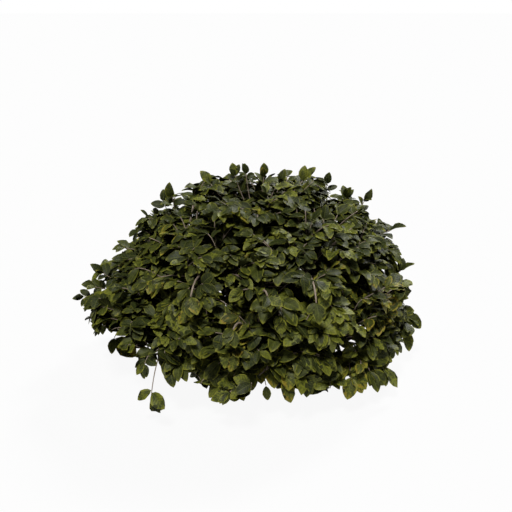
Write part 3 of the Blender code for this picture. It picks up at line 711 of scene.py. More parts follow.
def arms_and_shoots(crown, twigs, masses, middles):
    """Arms and shoots by the solids' rule.

    An arm leaves the end of a bough for each pair of neighbouring targets, and two shoots fork from it
    towards them. The targets of a mass are counted round the way from the bush's heart to its middle.
    """
    dice = np.random.default_rng(SEEDS["arms"])
    targets = surface_targets(crown, SHOOTS, SHOOT_REACH, SEEDS["targets"])
    owner = nearest(targets, middles)
    arms, shoots = [], []
    for index, mass in enumerate(masses):
        away = unit(mass.middle - UP * HEART_HEIGHT)
        side = unit(np.cross(away, COUNTED_FROM))
        off = targets[owner == index] - mass.middle
        turn = np.arctan2(off @ np.cross(away, side), off @ side)
        own = targets[owner == index][np.argsort(turn)]
        for first in range(0, len(own), 2):
            pair = own[first : first + 2]
            onward = unit(pair.mean(axis=0) - mass.middle)
            fork = mass.middle + onward * (mass.core_reach(onward) * FORK_AT)
            start = mass.bough_end + (mass.middle - mass.bough_end) * float(dice.uniform(*ARM_FEET))
            arms.append((index, start, fork, mass.arriving))
            shoots += [(index, fork, target, unit(fork - start)) for target in pair]
    arm_mass, start, end, leave = (np.array(part) for part in zip(*arms))
    handles = arched(HABITS["arms"], start, end, leave, 0.0)
    arms = Twigs(handles, (twigs.arm_radius, twigs.fork_radius), arm_mass)
    shoot_mass, start, end, leave = (np.array(part) for part in zip(*shoots))
    limit = dice.uniform(*CLUMPS, len(end))
    end = held_inside(crown, MIDDLE + (end - MIDDLE) * twigs.shoot_reach, limit, HABITS["shoots"].held)
    radii = (twigs.fork_radius * SHOOT_FOOT, twigs.tip_radius)
    return arms, grown(crown, dice, "shoots", start, end, leave, radii, shoot_mass, limit)


def inner_shoots(crown, twigs, middles):
    """Shorter shoots under the outer ones, from the nearest mass's middle, which close the crown's depth."""
    dice = np.random.default_rng(SEEDS["inner"])
    ends = surface_targets(crown, twigs.inner_shoots, INNER_REACH, SEEDS["inner_targets"])
    number = np.arange(twigs.crown_shoots)
    reach = UNDER_TOP_RADIUS * np.sqrt((number + 0.5) / twigs.crown_shoots)
    under_top = outward(number * GOLDEN_ANGLE) * reach[:, None]
    under_top[:, 2] = crown.top * dice.uniform(*UNDER_TOP_HEIGHTS, twigs.crown_shoots)
    ends = np.concatenate([ends, under_top])
    owner = nearest(ends, middles)
    start = middles[owner] + (ends - middles[owner]) * INNER_START
    ends = held_inside(crown, ends, CLUMPS[0], HABITS["inner"].held)
    leave = unit(ends - start + dice.normal(0.0, INNER_SCATTER, ends.shape))
    radii = (twigs.fork_radius * SLIM_FOOT, twigs.tip_radius)
    return grown(crown, dice, "inner", start, ends, leave, radii, owner, CLUMPS[0])


def side_twigs(crown, twigs, shoot, sides, dice):
    """Side twigs of the shoots: they splay from the shoot by turns left and right, and bend back along it."""
    count = len(shoot.handles)
    kept = []
    for where, hand, grows in sides:
        share = np.clip(where + dice.normal(0.0, SIDE_SCATTER, count), *SIDE_STRETCH)[:, None]
        flip = np.where(dice.random(count) < 0.5, -1.0, 1.0)[:, None]
        start = bezier(shoot.handles, share)[:, 0]
        along = bezier_way(shoot.handles, share)[:, 0]
        facing = facing_of(start, dice, SIDE_FACING_SPREAD)
        side = unit(np.cross(along, facing)) * hand * flip
        splay = np.radians(dice.uniform(*SIDE_SPLAY, (count, 1)))
        leave = along * np.cos(splay) + side * np.sin(splay)
        length = twigs.side_length * dice.uniform(*SIDE_LENGTHS, (count, 1)) * (SIDE_FULL - SIDE_LOSS * where)
        bend = unit(sum(way * share for way, share in zip((leave, along, facing), SIDE_BEND)))
        end = held_inside(crown, start + bend * length, shoot.limit, HABITS["sides"].held)
        radii = (twigs.side_radius, twigs.tip_radius)
        group = grown(crown, dice, "sides", start, end, leave, radii, shoot.mass, shoot.limit, shoot.tint)
        kept.append(group.chosen(dice.random(count) < grows))
    return joined_twigs(kept).clear_of_gaps()


def named_sprays(twigs, middles, sprays, radii):
    """Named sprays: each leaves the nearest mass's middle and ends a leaf's length short of its tip."""
    tips, rise, size, pairs, last, tints = (np.array(part) for part in zip(*sprays.values()))
    owner = nearest(tips, middles)
    start = middles[owner]
    way = unit(tips - start)
    arrive = unit(way + UP * rise[:, None])
    end = tips - arrive * (twigs.leaf_gap * LAST_LEAF * size)[:, None]
    leave = unit(way + UP * (LONG_LIFT - LONG_LIFT_LOSS * rise)[:, None])
    run = np.linalg.norm(end - start, axis=1)
    leafy_from = 1.0 - (pairs + PAIR_ROOM) * twigs.leaf_gap * size / run
    tint = [list(TINTS).index(name) for name in tints]
    return Twigs(curved(start, leave, arrive, end), radii, owner, leafy_from, size, tint, last)


def grow_twigs(crown, twigs):
    """All masses, and the twigs of the bush by kind.

    Arms and shoots follow the solids' rule. It is carried on to inner shoots, to side twigs, which leave each
    shoot by turns to its left and right, and to the named sprays.
    """
    masses = all_masses(crown)
    middles = np.array([mass.middle for mass in masses])
    ends = [
        [mass.bough_end + (mass.middle - mass.bough_end) * share for share in END_HANDLES] for mass in masses
    ]
    arms, shoots = arms_and_shoots(crown, twigs, masses, middles)
    shoots = shoots.clear_of_gaps()
    inner = inner_shoots(crown, twigs, middles).clear_of_gaps()
    dice = np.random.default_rng(SEEDS["sides"])
    outer_sides = side_twigs(crown, twigs, shoots, OUTER_SIDES, dice)
    inner_sides = side_twigs(crown, twigs, inner, INNER_SIDES, dice)
    slim = twigs.fork_radius * SLIM_FOOT
    return masses, {
        "stems": Twigs(ends, (BOUGH_TIP_RADIUS, twigs.arm_radius), range(len(masses))),
        "arms": arms,
        "shoots": shoots,
        "inner": inner,
        "sides": joined_twigs([outer_sides, inner_sides]),
        "long": named_sprays(twigs, middles, LONG_SPRAYS, (slim, twigs.tip_radius)),
        "bare": named_sprays(twigs, middles, BARE_SPRAYS, (twigs.arm_radius, slim)),
    }


def facing_of(points, dice, spread):
    """Unit normals that blades turn to: the light and outwards, more so low down, with a random part."""
    away = points * (1.0 - UP)
    away = away / np.maximum(np.linalg.norm(away, axis=-1, keepdims=True), NEAR_AXIS)
    facing = away * (FACING_OUT + FACING_OUT_LOW * lowness(points, TURNS_BELOW)) + np.array(LIGHT_SIDE)
    return unit(facing + dice.normal(0.0, spread, points.shape))


def leaf_stance(dice, twigs, leaf, group, twig_facing, free, node, hand):
    """One leaf of a node on every twig of a group: shares along the twigs, roots, aims, facings and sizes.

    The pairs turn by a quarter from node to node as far as the twig is upright. A node below 0 is the
    rosette.
    """
    count, rosette = len(group.handles), node < 0
    back = 0.0 if rosette else (node + FIRST_PAIR + dice.normal(0.0, PAIR_SCATTER, count)) * twigs.leaf_gap
    back = back * group.leaf_size * (GAP_LEAST + GAP_SPREAD * dice.random(count)) + hand * HAND_STEP
    share = np.clip(1.0 - back / group.lengths(), 0.0, 1.0)
    root = bezier(group.handles, share[:, None])[:, 0]
    along = bezier_way(group.handles, share[:, None])[:, 0]
    side = unit(np.cross(along, twig_facing))
    upright = dot(along, twig_facing) ** 2
    turn = upright * (math.pi / 2 * (node % 2)) + dice.normal(0.0, TURN_SPREAD, (count, 1))
    side = side * np.cos(turn) + np.cross(along, side) * np.sin(turn)
    splay = np.radians(dice.uniform(*(ROSETTE_SPLAY if rosette else PAIR_SPLAY), (count, 1))) * abs(hand)
    aim = along * np.cos(splay) + side * (np.sin(splay) * hand)
    aim = aim * (1.0 - UP * (leaf.flatten * (1.0 - lowness(root, TURNS_BELOW)) * (not free)))
    aim = unit(aim - UP * leaf.droop * dice.uniform(*DROOP_SPREAD, (count, 1)))
    aim = unit(aim + dice.normal(0.0, AIM_SPREAD, (count, 3)))
    face = unit(twig_facing + dice.normal(0.0, FACING_SPREAD, (count, 3)))
    smaller = 1.0 - PAIR_LOSS / (node + PAIR_LOSS_FROM)
    if rosette:
        smaller = END_SIDE_LEAF if hand else END_LEAF
    return share, root, aim, face, group.leaf_size * dice.uniform(*SIZE_SPREAD, count) * smaller


def leaf_places(crown, twigs, leaf, groups):
    """Roots, aims, facings, sizes, masses and tints of all leaves as arrays.

    Nodes lie a leaf gap apart, counted back from the twig's tip, each with a near-opposite pair, and a
    rosette of up to three closes the twig. Leaves that would pass the crown's surface are turned back, and
    dropped where that isn't enough or where they would close a gap. Each kind of twig has its own random
    draws.
    """
    found = []
    for kind in LEAFY_KINDS:
        group, free = groups[kind], kind in FREE_KINDS
        dice, count = np.random.default_rng(SEEDS[kind]), len(group.handles)
        limit = crown.long_share if free else crown.leaf_share * group.limit
        facing = facing_of(group.handles[:, 3], dice, TWIG_FACING_SPREAD)
        if free:
            facing = unit(facing + np.array(LONG_FACING))
        for node in range(-1, twigs.most_nodes):
            rosette = node < 0
            for rank, hand in enumerate(ROSETTE_HANDS if rosette else PAIR_HANDS):
                share, root, aim, face, size = leaf_stance(dice, twigs, leaf, group, facing, free, node, hand)
                keep = (share >= group.leafy_from) & (dice.random(count) < (1.0 if rosette else PAIR_KEPT))
                keep &= (rank < group.end_leaves) | (not rosette)
                aim, stays = held_leaves(crown, leaf, root, aim, size, limit, free)
                keep &= stays
                own_tint = dice.random(count) < leaf.own_tint
                tint = np.where(own_tint, spray_tints(dice, root), group.tint)
                found.append((root[keep], aim[keep], face[keep], size[keep], group.mass[keep], tint[keep]))
    return [np.concatenate(part) for part in zip(*found)]


def past_crown(crown, tips, limit, free):
    """Which tips lie past the crown's surface, top or skirt. Long sprays may pass them by a little."""
    height = tips[:, 2]
    if free:
        past_side = (crown_share(crown, tips) > limit) & (height < FREE_SIDE * crown.top)
        return past_side | (height > crown.top + OVER_TOP) | (height < crown.lowest_leaf)
    edge = edge_share(tips)
    past_side = crown_share(crown, tips) > limit * edge
    return past_side | (height > crown.top * edge - UNDER_TOP) | (height < skirt_height(crown, tips, limit))


def held_leaves(crown, leaf, root, aim, size, limit, free):
    """Aims turned back from the crown's surface, its top and the ground, and which leaves then stay."""
    length = (leaf.length * size)[:, None]
    for _ in range(HOLD_LEAF_STEPS):
        tips = root + aim * length
        turned = unit(aim + unit(MIDDLE - tips) * HOLD_LEAF_TURN)
        aim = np.where(past_crown(crown, tips, limit, free)[:, None], turned, aim)
    midrib = root[:, None] + (aim * length)[:, None] * MIDRIB_SAMPLES[:, None]
    stays = ~past_crown(crown, root + aim * length, limit, free)
    return aim, stays & (free | ~crosses_gap(midrib, LEAF_CLEARANCE))


def leaf_surface(leaf, size, dice):
    """Points of every leaf in its own axes: across, along and up, over a grid of rows and columns.

    Half the width is sin(pi * q^0.88)^0.72 of the full half width, with q the share of the blade's length
    past the stalk. The height is a droop by the square of the share along, a fold and a cup that grow with
    the distance from the midrib, a swell between the midrib and each margin, and a wave along the margins.
    """
    one = (len(size), 1, 1)
    rows = np.array(LEAF_ROWS)[None, :, None]
    columns = np.array(LEAF_COLUMNS)[None, None, :]
    side = np.abs(columns)
    length = (leaf.length * size).reshape(one)
    half = length * leaf.width_share / 2 * dice.uniform(*WIDTH_SPREAD, one)
    blade = np.clip((rows - STALK_SHARE) / (1.0 - STALK_SHARE), 0.0, 1.0)
    spread = np.sin(math.pi * blade**OUTLINE_POWER) ** OUTLINE_FULLNESS
    width = np.maximum(half * spread, leaf.stalk_radius)
    ragged = 1.0 + RAGGED * dice.normal(0.0, 1.0, (len(size), len(LEAF_ROWS), 1))
    across = columns * width * np.where(rows > STALK_SHARE, ragged, 1.0)
    curl = leaf.curl * dice.uniform(*CURL_SPREAD, one)
    fold = leaf.fold * dice.uniform(*FOLD_SPREAD, one)
    wave = leaf.wave * dice.uniform(*WAVE_SPREAD, one)
    ripple = dice.uniform(0.0, math.tau, one) + WAVE_ALONG * rows + WAVE_ACROSS * columns
    height = (
        -curl * length * rows**2
        + BOW * length * np.sin(math.pi * rows)
        + fold * np.abs(across)
        + SWELL * width * (1.0 - (2.0 * side - 1.0) ** 2)
        + wave * half * spread * side**2 * np.sin(ripple)
    )
    thick = leaf.thickness * (1.0 - side**2) * np.sqrt(np.clip(spread, THINNEST, 1.0))
    along = length * rows
    top = np.stack(np.broadcast_arrays(across, along, height), axis=-1)
    under = np.stack(np.broadcast_arrays(across, along, height - thick), axis=-1)
    return top, under


def quads_between(grids):
    """The corners of every cell of grids (grids, rows, columns, ...) of vertex numbers or of map places."""
    near, far = grids[:, :-1], grids[:, 1:]
    return np.stack([near[:, :, :-1], near[:, :, 1:], far[:, :, 1:], far[:, :, :-1]], axis=3)


def leaf_pattern():
    """Corner lists of one leaf, and the map place of each corner.

    Its vertices are the root, the tip, the rows of the upper side and the inner columns of the rows of the
    underside, which share the margins with the upper side. A fan at each end closes both sides.
    """
    rows, columns = len(LEAF_ROWS), len(LEAF_COLUMNS)
    top = 2 + np.arange(rows * columns).reshape(rows, columns)
    inner = 2 + rows * columns + np.arange(rows * (columns - 2)).reshape(rows, columns - 2)
    under = np.hstack([top[:, :1], inner, top[:, -1:]])
    across = (np.array(LEAF_COLUMNS) + 1.0) / 2.0
    places = np.stack(np.broadcast_arrays(across, np.array(LEAF_ROWS)[:, None]), axis=-1)
    quads, quad_places, fans, fan_places = [], [], [], []
    for grid, flipped in ((top, False), (under, True)):
        order = [3, 2, 1, 0] if flipped else [0, 1, 2, 3]
        quads.append(quads_between(grid[None]).reshape(-1, 4)[:, order])
        quad_places.append(quads_between(places[None]).reshape(-1, 4, 2)[:, order])
        for pole, row, level in ((0, 0, 0.0), (1, -1, 1.0)):
            order = [0, 2, 1] if flipped != (pole == 1) else [0, 1, 2]
            fan = [np.full(columns - 1, pole), grid[row, 1:], grid[row, :-1]]
            spots = [np.tile((0.5, level), (columns - 1, 1)), places[row, 1:], places[row, :-1]]
            fans.append(np.stack(fan, axis=1)[:, order])
            fan_places.append(np.stack(spots, axis=1)[:, order])
    return [np.concatenate(part) for part in (quads, quad_places, fans, fan_places)]


def surface_mesh(name, vertices, faces, slots=None, places=None):
    """A mesh object at the origin from whole arrays: groups of faces of one size, slots and map places."""
    mesh = bpy.data.meshes.new(name)
    sizes = np.concatenate([np.full(len(group), group.shape[1]) for group in faces])
    corners = np.concatenate([group.ravel() for group in faces])
    mesh.vertices.add(len(vertices))
    mesh.vertices.foreach_set("co", np.asarray(vertices, np.float32).ravel())
    mesh.loops.add(len(corners))
    mesh.loops.foreach_set("vertex_index", corners.astype(np.int32))
    mesh.polygons.add(len(sizes))
    starts = np.append(0, np.cumsum(sizes)[:-1])
    mesh.polygons.foreach_set("loop_start", starts.astype(np.int32))
    if slots is not None:
        mesh.polygons.foreach_set("material_index", slots.astype(np.int32))
    mesh.update(calc_edges=True)
    mesh.polygons.foreach_set("use_smooth", np.ones(len(sizes), bool))
    if places is not None:
        layer = mesh.uv_layers.new(name=MAP_NAME)
        layer.data.foreach_set("uv", np.asarray(places, np.float32).ravel())
    mesh.validate()
    item = bpy.data.objects.new(name, mesh)
    bpy.context.scene.collection.objects.link(item)
    return item


def leaves_mesh(name, leaf, leaves, seed):
    """All leaves of one piece as closed shells with an upper side and an underside of their own."""
    root, aim, face, size, _, tint = leaves
    count = len(size)
    top, under = leaf_surface(leaf, size, np.random.default_rng(seed))
    facing = unit(face - aim * dot(face, aim))
    axes = (np.cross(aim, facing), aim, facing)

    def placed(points):
        """The points of every leaf in the piece's axes."""
        steps = [points[..., part : part + 1] * axes[part][:, None, None] for part in range(3)]
        return (root[:, None, None] + steps[0] + steps[1] + steps[2]).reshape(count, -1, 3)

    middle = len(LEAF_COLUMNS) // 2
    before, last = top[:, -2, middle, 2], top[:, -1, middle, 2]
    tip_height = last + (last - before) * (1.0 - LEAF_ROWS[-1]) / (LEAF_ROWS[-1] - LEAF_ROWS[-2])
    tip = root + aim * (leaf.length * size)[:, None] + facing * tip_height[:, None]
    shells = np.concatenate([root[:, None], tip[:, None], placed(top), placed(under[:, :, 1:-1])], axis=1)
    quads, quad_places, fans, fan_places = leaf_pattern()
    offsets = np.arange(count)[:, None, None] * shells.shape[1]
    turning = np.array([spray.blotch > 0.0 for spray in TINTS.values()])[tint].astype(int)
    cells, under_cells = np.array(TINT_CELLS)[tint], np.array(UNDER_CELLS)[turning]

    def dressed(pattern):
        """Map places and slots of a pattern on every leaf. Its second half is the underside's."""
        upper = np.arange(len(pattern)) < len(pattern) // 2
        patches = np.where(upper[:, None], cells[:, None], under_cells[:, None])
        places = on_patch(pattern, patches[:, :, None], CELLS, CELL_MARGIN)
        return places.reshape(-1, 2), np.where(upper, tint[:, None], len(TINTS) + turning[:, None]).ravel()

    places, slots = (np.concatenate(part) for part in zip(dressed(quad_places), dressed(fan_places)))
    faces = [(quads + offsets).reshape(-1, 4), (fans + offsets).reshape(-1, 3)]
    item = surface_mesh(name, shells.reshape(-1, 3), faces, slots, places)
    item.data.set_sharp_from_angle(angle=math.radians(SHARP_EDGE))
    return item


def rings_round(points, ways, radii, sides):
    """Corners of rings square to paths, from points and ways (paths, rings, 3) and radii (paths, rings, ...).

    One level vector across each path is laid square to it at every ring, so the rings hardly twist.
    """
    chord = unit(points[:, -1] - points[:, 0])
    helper = np.where(np.abs(chord[:, 2:]) < STEEP, UP, np.array((1.0, 0.0, 0.0)))
    across = unit(np.cross(chord, helper))[:, None]
    first = unit(across - ways * dot(across, ways))
    second = np.cross(ways, first)
    angle = angles_round(sides)[None, None, :, None]
    ring = first[:, :, None] * np.cos(angle) + second[:, :, None] * np.sin(angle)
    return points[:, :, None] + ring * radii[..., None]


class Tubes:
    """Closed tubes gathered into one mesh: their corners, quads and caps, and where these lie on the map."""

    def __init__(self):
        self.corners, self.quads, self.places, self.caps = [], [], [], []
        self.count = 0

    def add(self, corners, around, along):
        """Add tubes of corners (tubes, rings, sides, 3), with the places of their grid lines on the map."""
        grid = self.count + np.arange(corners.size // 3).reshape(corners.shape[:3])
        places = np.stack(np.broadcast_arrays(around[:, None], along[..., None]), axis=-1)
        self.corners.append(corners.reshape(-1, 3))
        self.quads.append(quads_between(np.concatenate([grid, grid[..., :1]], axis=2)).reshape(-1, 4))
        self.places.append(quads_between(places).reshape(-1, 2))
        self.caps.append(np.concatenate([grid[:, 0, ::-1], grid[:, -1]]))
        self.count += grid.size

    def mesh(self, name, caps_middle, caps_radius):
        """The mesh of all tubes, with their caps on one small disc of the map."""
        caps, spots = [], []
        for sides in sorted({group.shape[1] for group in self.caps}):
            caps.append(np.concatenate([group for group in self.caps if group.shape[1] == sides]))
            disc = caps_middle + caps_radius * outward(angles_round(sides))[:, :2]
            spots.append(np.tile(disc, (len(caps[-1]), 1)))
        faces, places = [np.concatenate(self.quads), *caps], np.concatenate(self.places + spots)
        return surface_mesh(name, np.concatenate(self.corners), faces, None, places)


def twigs_mesh(name, groups, masses):
    """All twigs of some masses as closed tapering tubes, each on a lane of the twig map.

    The radius runs from the first to the last by the share along to the power 0.8, times a swell at the foot,
    which dies away, and knots, which are a sine of the share.
    """
    tubes = Tubes()
    for kind, (sides, rings) in TWIG_GRIDS.items():
        group = groups[kind].chosen(np.isin(groups[kind].mass, masses))
        count = len(group.handles)
        if not count:
            continue
        share = np.broadcast_to(np.linspace(0.0, 1.0, rings), (count, rings))
        number = np.arange(count)[:, None]
        radii = group.radii[:, :1] + (group.radii[:, 1:] - group.radii[:, :1]) * share**TWIG_TAPER
        swell = 1.0 + FOOT_SWELL * np.exp(-share * FOOT_SWELL_RATE)
        knots = 1.0 + KNOTS * np.sin(share * KNOT_RATE + number)
        ways = bezier_way(group.handles, share)
        corners = rings_round(group.points(rings), ways, (radii * swell * knots)[..., None], sides)
        around = on_patch(np.linspace(0.0, 1.0, sides + 1), number % TWIG_LANES, TWIG_LANES, LANE_MARGIN)
        tubes.add(corners, around, on_patch(share, 0, 1, MAP_MARGIN))
    return tubes.mesh(name, *TWIG_CAPS)


def bark_relief(angle, along, depth, seed):
    """Height of the bark over a limb: ridges that wander round it as they run along, and small scales.

    It is a sum of sines of the angle round the limb and the distance along it, with whole turns round.
    """
    dice = np.random.default_rng(seed)
    phases = iter(dice.uniform(0.0, math.tau, len(BARK_WANDER) + len(BARK_RIDGES) + 2))
    wander = sum(amount * np.sin(along * rate + next(phases)) for amount, rate in BARK_WANDER)
    ridges = sum(
        amount * np.sin(turns * (angle + sway * wander) + rate * along + next(phases))
        for turns, sway, rate, amount in BARK_RIDGES
    )
    turns, slanting, level, amount = BARK_SCALES
    scales = np.sin(turns * angle + slanting * along + next(phases)) * np.sin(level * along + next(phases))
    return depth * (ridges + amount * scales)


def limbs_mesh(name, limbs, patches):
    """Closed skins of limbs over rings of corners, each on its patch of the bark map, in rows of a few.

    The bark pattern reads a place on a plain cylinder of the limb's radius, drawn out along it.
    """
    tubes, bark_places = Tubes(), []
    for number, (corners, angle, along, radius) in enumerate(limbs):
        run = (along - along.min()) / np.ptp(along)
        around = on_patch(np.linspace(0.0, 1.0, len(angle) + 1), number % patches, patches, MAP_MARGIN)
        tubes.add(corners[None], around[None], on_patch(run, number // patches, patches, MAP_MARGIN)[None])
        level = along * BARK_LANE_SCALE + number * BARK_LANE_STEP
        bark_places.append((outward(angle) * radius + UP * level[:, None, None]).reshape(-1, 3))
    item = tubes.mesh(name, *LIMB_CAPS)
    layer = item.data.attributes.new("bark_place", "FLOAT_VECTOR", "POINT")
    layer.data.foreach_set("vector", np.concatenate(bark_places).astype(np.float32).ravel())
    return item


def stem_limb(bark):
    """The stem: rings that taper upwards, a lobed flare that dies away upwards, relief and a fork dome.

    The radius is the taper plus (flare - taper) * exp(-height / flare height) times 1 + lobes * cos(5 angle).
    """
    angle = angles_round(STEM_SIDES)
    height = STEM_HEIGHT * np.linspace(0.0, 1.0, STEM_RINGS) ** STEM_CROWDING
    level = height[:, None]
    flare = (FLARE_RADIUS - STEM_RADIUS) * np.exp(-level / FLARE_HEIGHT)
    plain = STEM_RADIUS + (STEM_TOP_RADIUS - STEM_RADIUS) * level / STEM_HEIGHT
    radius = plain + flare * (1.0 + FLARE_LOBE_DEPTH * np.cos(FLARE_LOBES * angle))
    radius = radius + bark_relief(angle, level, bark.depth, SEEDS["stem"])
    corners = stem_axis(height)[:, None] + outward(angle) * radius[..., None]
    step = np.arange(1, DOME_RINGS + 1) / DOME_RINGS
    tilt = (math.pi / 2 * step * DOME_TURN)[:, None, None]
    fork = stem_axis(STEM_HEIGHT)
    dome = fork + (corners[-1] - fork) * np.cos(tilt) + UP * DOME_HEIGHT * np.sin(tilt)
    along = np.concatenate([height, STEM_HEIGHT + DOME_RUN * step])
    return np.concatenate([corners, dome]), angle, along, STEM_RADIUS


def bough_limb(mass, bark, seed):
    """One bough: a tapering tube along its curve with a collar at the stem, bark relief and slow bends.

    The radius follows the share along to the power 0.8, times a collar that dies away and slow sines.
    """
    share = np.linspace(0.0, 1.0, BOUGH_RINGS)[None]
    points, ways = bezier(mass.handles[None], share), bezier_way(mass.handles[None], share)
    along = np.append(0.0, np.cumsum(np.linalg.norm(np.diff(points[0], axis=0), axis=1)))
    radius = mass.radius + (BOUGH_TIP_RADIUS - mass.radius) * share[0] ** BOUGH_TAPER
    collar = 1.0 + COLLAR * np.exp(-along / COLLAR_LENGTH)
    dice = np.random.default_rng(seed)
    bends = sum(BOUGH_BEND * np.sin(along * rate + dice.uniform(0, math.tau)) for rate in BOUGH_BEND_RATES)
    radius = (radius * collar * (1.0 + bends))[:, None]
    angle = angles_round(BOUGH_SIDES)
    relief = bark_relief(angle, along[:, None], bark.depth * BOUGH_RELIEF, seed)
    return rings_round(points, ways, (radius + relief)[None], BOUGH_SIDES)[0], angle, along, mass.radius


class Value:
    """A number that varies over a surface: sums on it add Math nodes to its tree."""

    def __init__(self, nodes, socket):
        self.nodes = nodes
        self.socket = socket

    def result(self, operation, *inputs):
        """A Math node of one operation on values or numbers."""
        return self.nodes.value("ShaderNodeMath", {"operation": operation}, dict(enumerate(inputs)))

    def __add__(self, other):
        return self.result("ADD", self, other)

    def __radd__(self, other):
        return self.result("ADD", other, self)

    def __sub__(self, other):
        return self.result("SUBTRACT", self, other)

    def __rsub__(self, other):
        return self.result("SUBTRACT", other, self)

    def __mul__(self, other):
        return self.result("MULTIPLY", self, other)

    def __rmul__(self, other):
        return self.result("MULTIPLY", other, self)

    def __pow__(self, other):
        return self.result("POWER", self, other)

    def __abs__(self):
        return self.result("ABSOLUTE", self)

    def cosine(self):
        """Cosine of the value in radians."""
        return self.result("COSINE", self)

    def larger(self, other):
        """The larger of two values."""
        return self.result("MAXIMUM", self, other)

    def rise(self, low, high):
        """A smooth step from 0 at low to 1 at high, which may be the smaller of the two."""
        inputs = {"Value": self, "From Min": min(low, high), "From Max": max(low, high)}
        step = self.nodes.value("ShaderNodeMapRange", {"interpolation_type": "SMOOTHSTEP"}, inputs, "Result")
        return 1.0 - step if low > high else step


class Nodes:
    """A tree of shader nodes."""

    def __init__(self, tree):
        self.tree = tree

    def node(self, kind, settings, inputs):
        """Any node: its type, its settings, set first, and the values or links of its sockets."""
        made = self.tree.nodes.new(kind)
        for name, setting in settings.items():
            setattr(made, name, setting)
        for name, given in inputs.items():
            self.join(given, made.inputs[name])
        return made

    def join(self, given, socket):
        """Put a number, colour, Value or socket into a socket."""
        given = given.socket if isinstance(given, Value) else given
        if isinstance(given, bpy.types.NodeSocket):
            self.tree.links.new(given, socket)
        elif socket.type == "RGBA":
            socket.default_value = (*given, 1.0)
        else:
            socket.default_value = given

    def value(self, kind, settings, inputs, output=0):
        """The output of a new node as a Value."""
        return Value(self, self.node(kind, settings, inputs).outputs[output])

    def noise(self, place, scale, detail, roughness):
        """Smooth noise from 0 to 1 at a place."""
        inputs = {"Vector": place, "Scale": scale, "Detail": detail, "Roughness": roughness}
        return self.value("ShaderNodeTexNoise", {}, inputs, "Fac")

    def blend(self, share, first, second):
        """A colour between two colours."""
        inputs = {MIX_SHARE: share, MIX_FIRST: first, MIX_SECOND: second}
        return self.node("ShaderNodeMix", {"data_type": "RGBA"}, inputs).outputs[MIX_COLOUR]

    def eye(self):
        """1 for what the eye sees directly, and 0 for light on its way."""
        return self.value("ShaderNodeLightPath", {}, {}, "Is Camera Ray")

    def mix(self, share, first, second, output):
        """Mix two shaders by a share for the tree's surface."""
        mixed = self.node("ShaderNodeMixShader", {}, {0: share, 1: first.outputs[0], 2: second.outputs[0]})
        self.join(mixed.outputs[0], self.tree.nodes[output].inputs["Surface"])


class Finish(Nodes):
    """A material made of nodes round one Principled surface."""

    def __init__(self, name, gloss):
        self.material = bpy.data.materials.new(name)
        self.material.use_nodes = True
        super().__init__(self.material.node_tree)
        self.surface = self.tree.nodes["Principled BSDF"]
        self.join(gloss, self.surface.inputs["Specular IOR Level"])

    def map_place(self):
        """The piece's own map, and the places across and along on it."""
        place = self.node("ShaderNodeUVMap", {"uv_map": MAP_NAME}, {}).outputs["UV"]
        split = self.node("ShaderNodeSeparateXYZ", {}, {0: place})
        return place, Value(self, split.outputs["X"]), Value(self, split.outputs["Y"])

    def bump(self, height, distance, strength):
        """Lift the surface by a height."""
        made = self.node("ShaderNodeBump", {}, {"Height": height, "Distance": distance, "Strength": strength})
        self.join(made.outputs["Normal"], self.surface.inputs["Normal"])

    def wear(self, colour, roughness):
        """Feed the surface's colour and roughness."""
        self.join(colour, self.surface.inputs["Base Color"])
        self.join(roughness, self.surface.inputs["Roughness"])
        return self.material


def leaf_finish(name, cell, colours, upper, blotch, pale_rim):
    """One side of a leaf over its patch of the leaf map.

    Across and along run from -1 to 1 and from 0 to 1. The midrib is a band round across = 0. Side veins are
    the crests of a cosine of seven times along less 1.5 times the distance from the midrib. The rim, paler by
    a share, is a band at the far end of the larger of that distance and the share along, with ragged noise.
    Blotches are noise that spreads in from the rim, further the larger their amount.
    """
    deep, light, vein, rim_colour, spot = colours
    finish = Finish(name, LEAF_GLOSS if upper else UNDERSIDE_GLOSS)
    place, across, along = finish.map_place()
    scale = CELLS / (1.0 - 2.0 * CELL_MARGIN)
    column, row = ((part + CELL_MARGIN) / CELLS for part in cell)
    across = across * (2.0 * scale) - (2.0 * scale * column + 1.0)
    along = along * scale - scale * row
    side = abs(across)
    broad = finish.noise(place, *LEAF_BROAD)
    fine = finish.noise(place, *LEAF_FINE)
    midrib = side.rise(*MIDRIB_BAND)
    crest = ((along * VEINS - side * VEIN_SLOPE) * math.tau).cosine() * 0.5 + 0.5
    veins = crest**VEIN_SHARPNESS * side.rise(*VEIN_BAND) * (1.0 - midrib)
    edge = side.larger(along * TIP_SHARE) + (broad - NOISE_MIDDLE) * RIM_RAGGED
    wide, narrow, rim, ridge = MOTTLE_MIX
    mottle = (broad * wide + fine * narrow + edge * rim - crest * ridge).rise(*MOTTLE_BAND)
    colour = finish.blend(mottle, deep, light)
    if blotch:
        band = (limit - BLOTCH_GAIN * blotch for limit in BLOTCH_BAND)
        wide, narrow, rim = BLOTCH_MIX
        colour = finish.blend((broad * wide + fine * narrow + edge * rim).rise(*band), colour, spot)
    colour = finish.blend(veins * VEIN_PALE, colour, vein)
    colour = finish.blend(edge.rise(*RIM_BAND) * pale_rim, colour, rim_colour)
    colour = finish.blend(midrib * MIDRIB_PALE, colour, vein)
    vein_lift, midrib_lift, dullness = UPPER_SIDE if upper else UNDERSIDE
    finish.bump(veins * vein_lift + midrib * midrib_lift + fine * GRAIN_LIFT, *LEAF_RELIEF)
    return finish.wear(colour, fine * GRAIN_DULL + veins * VEIN_DULL + dullness)


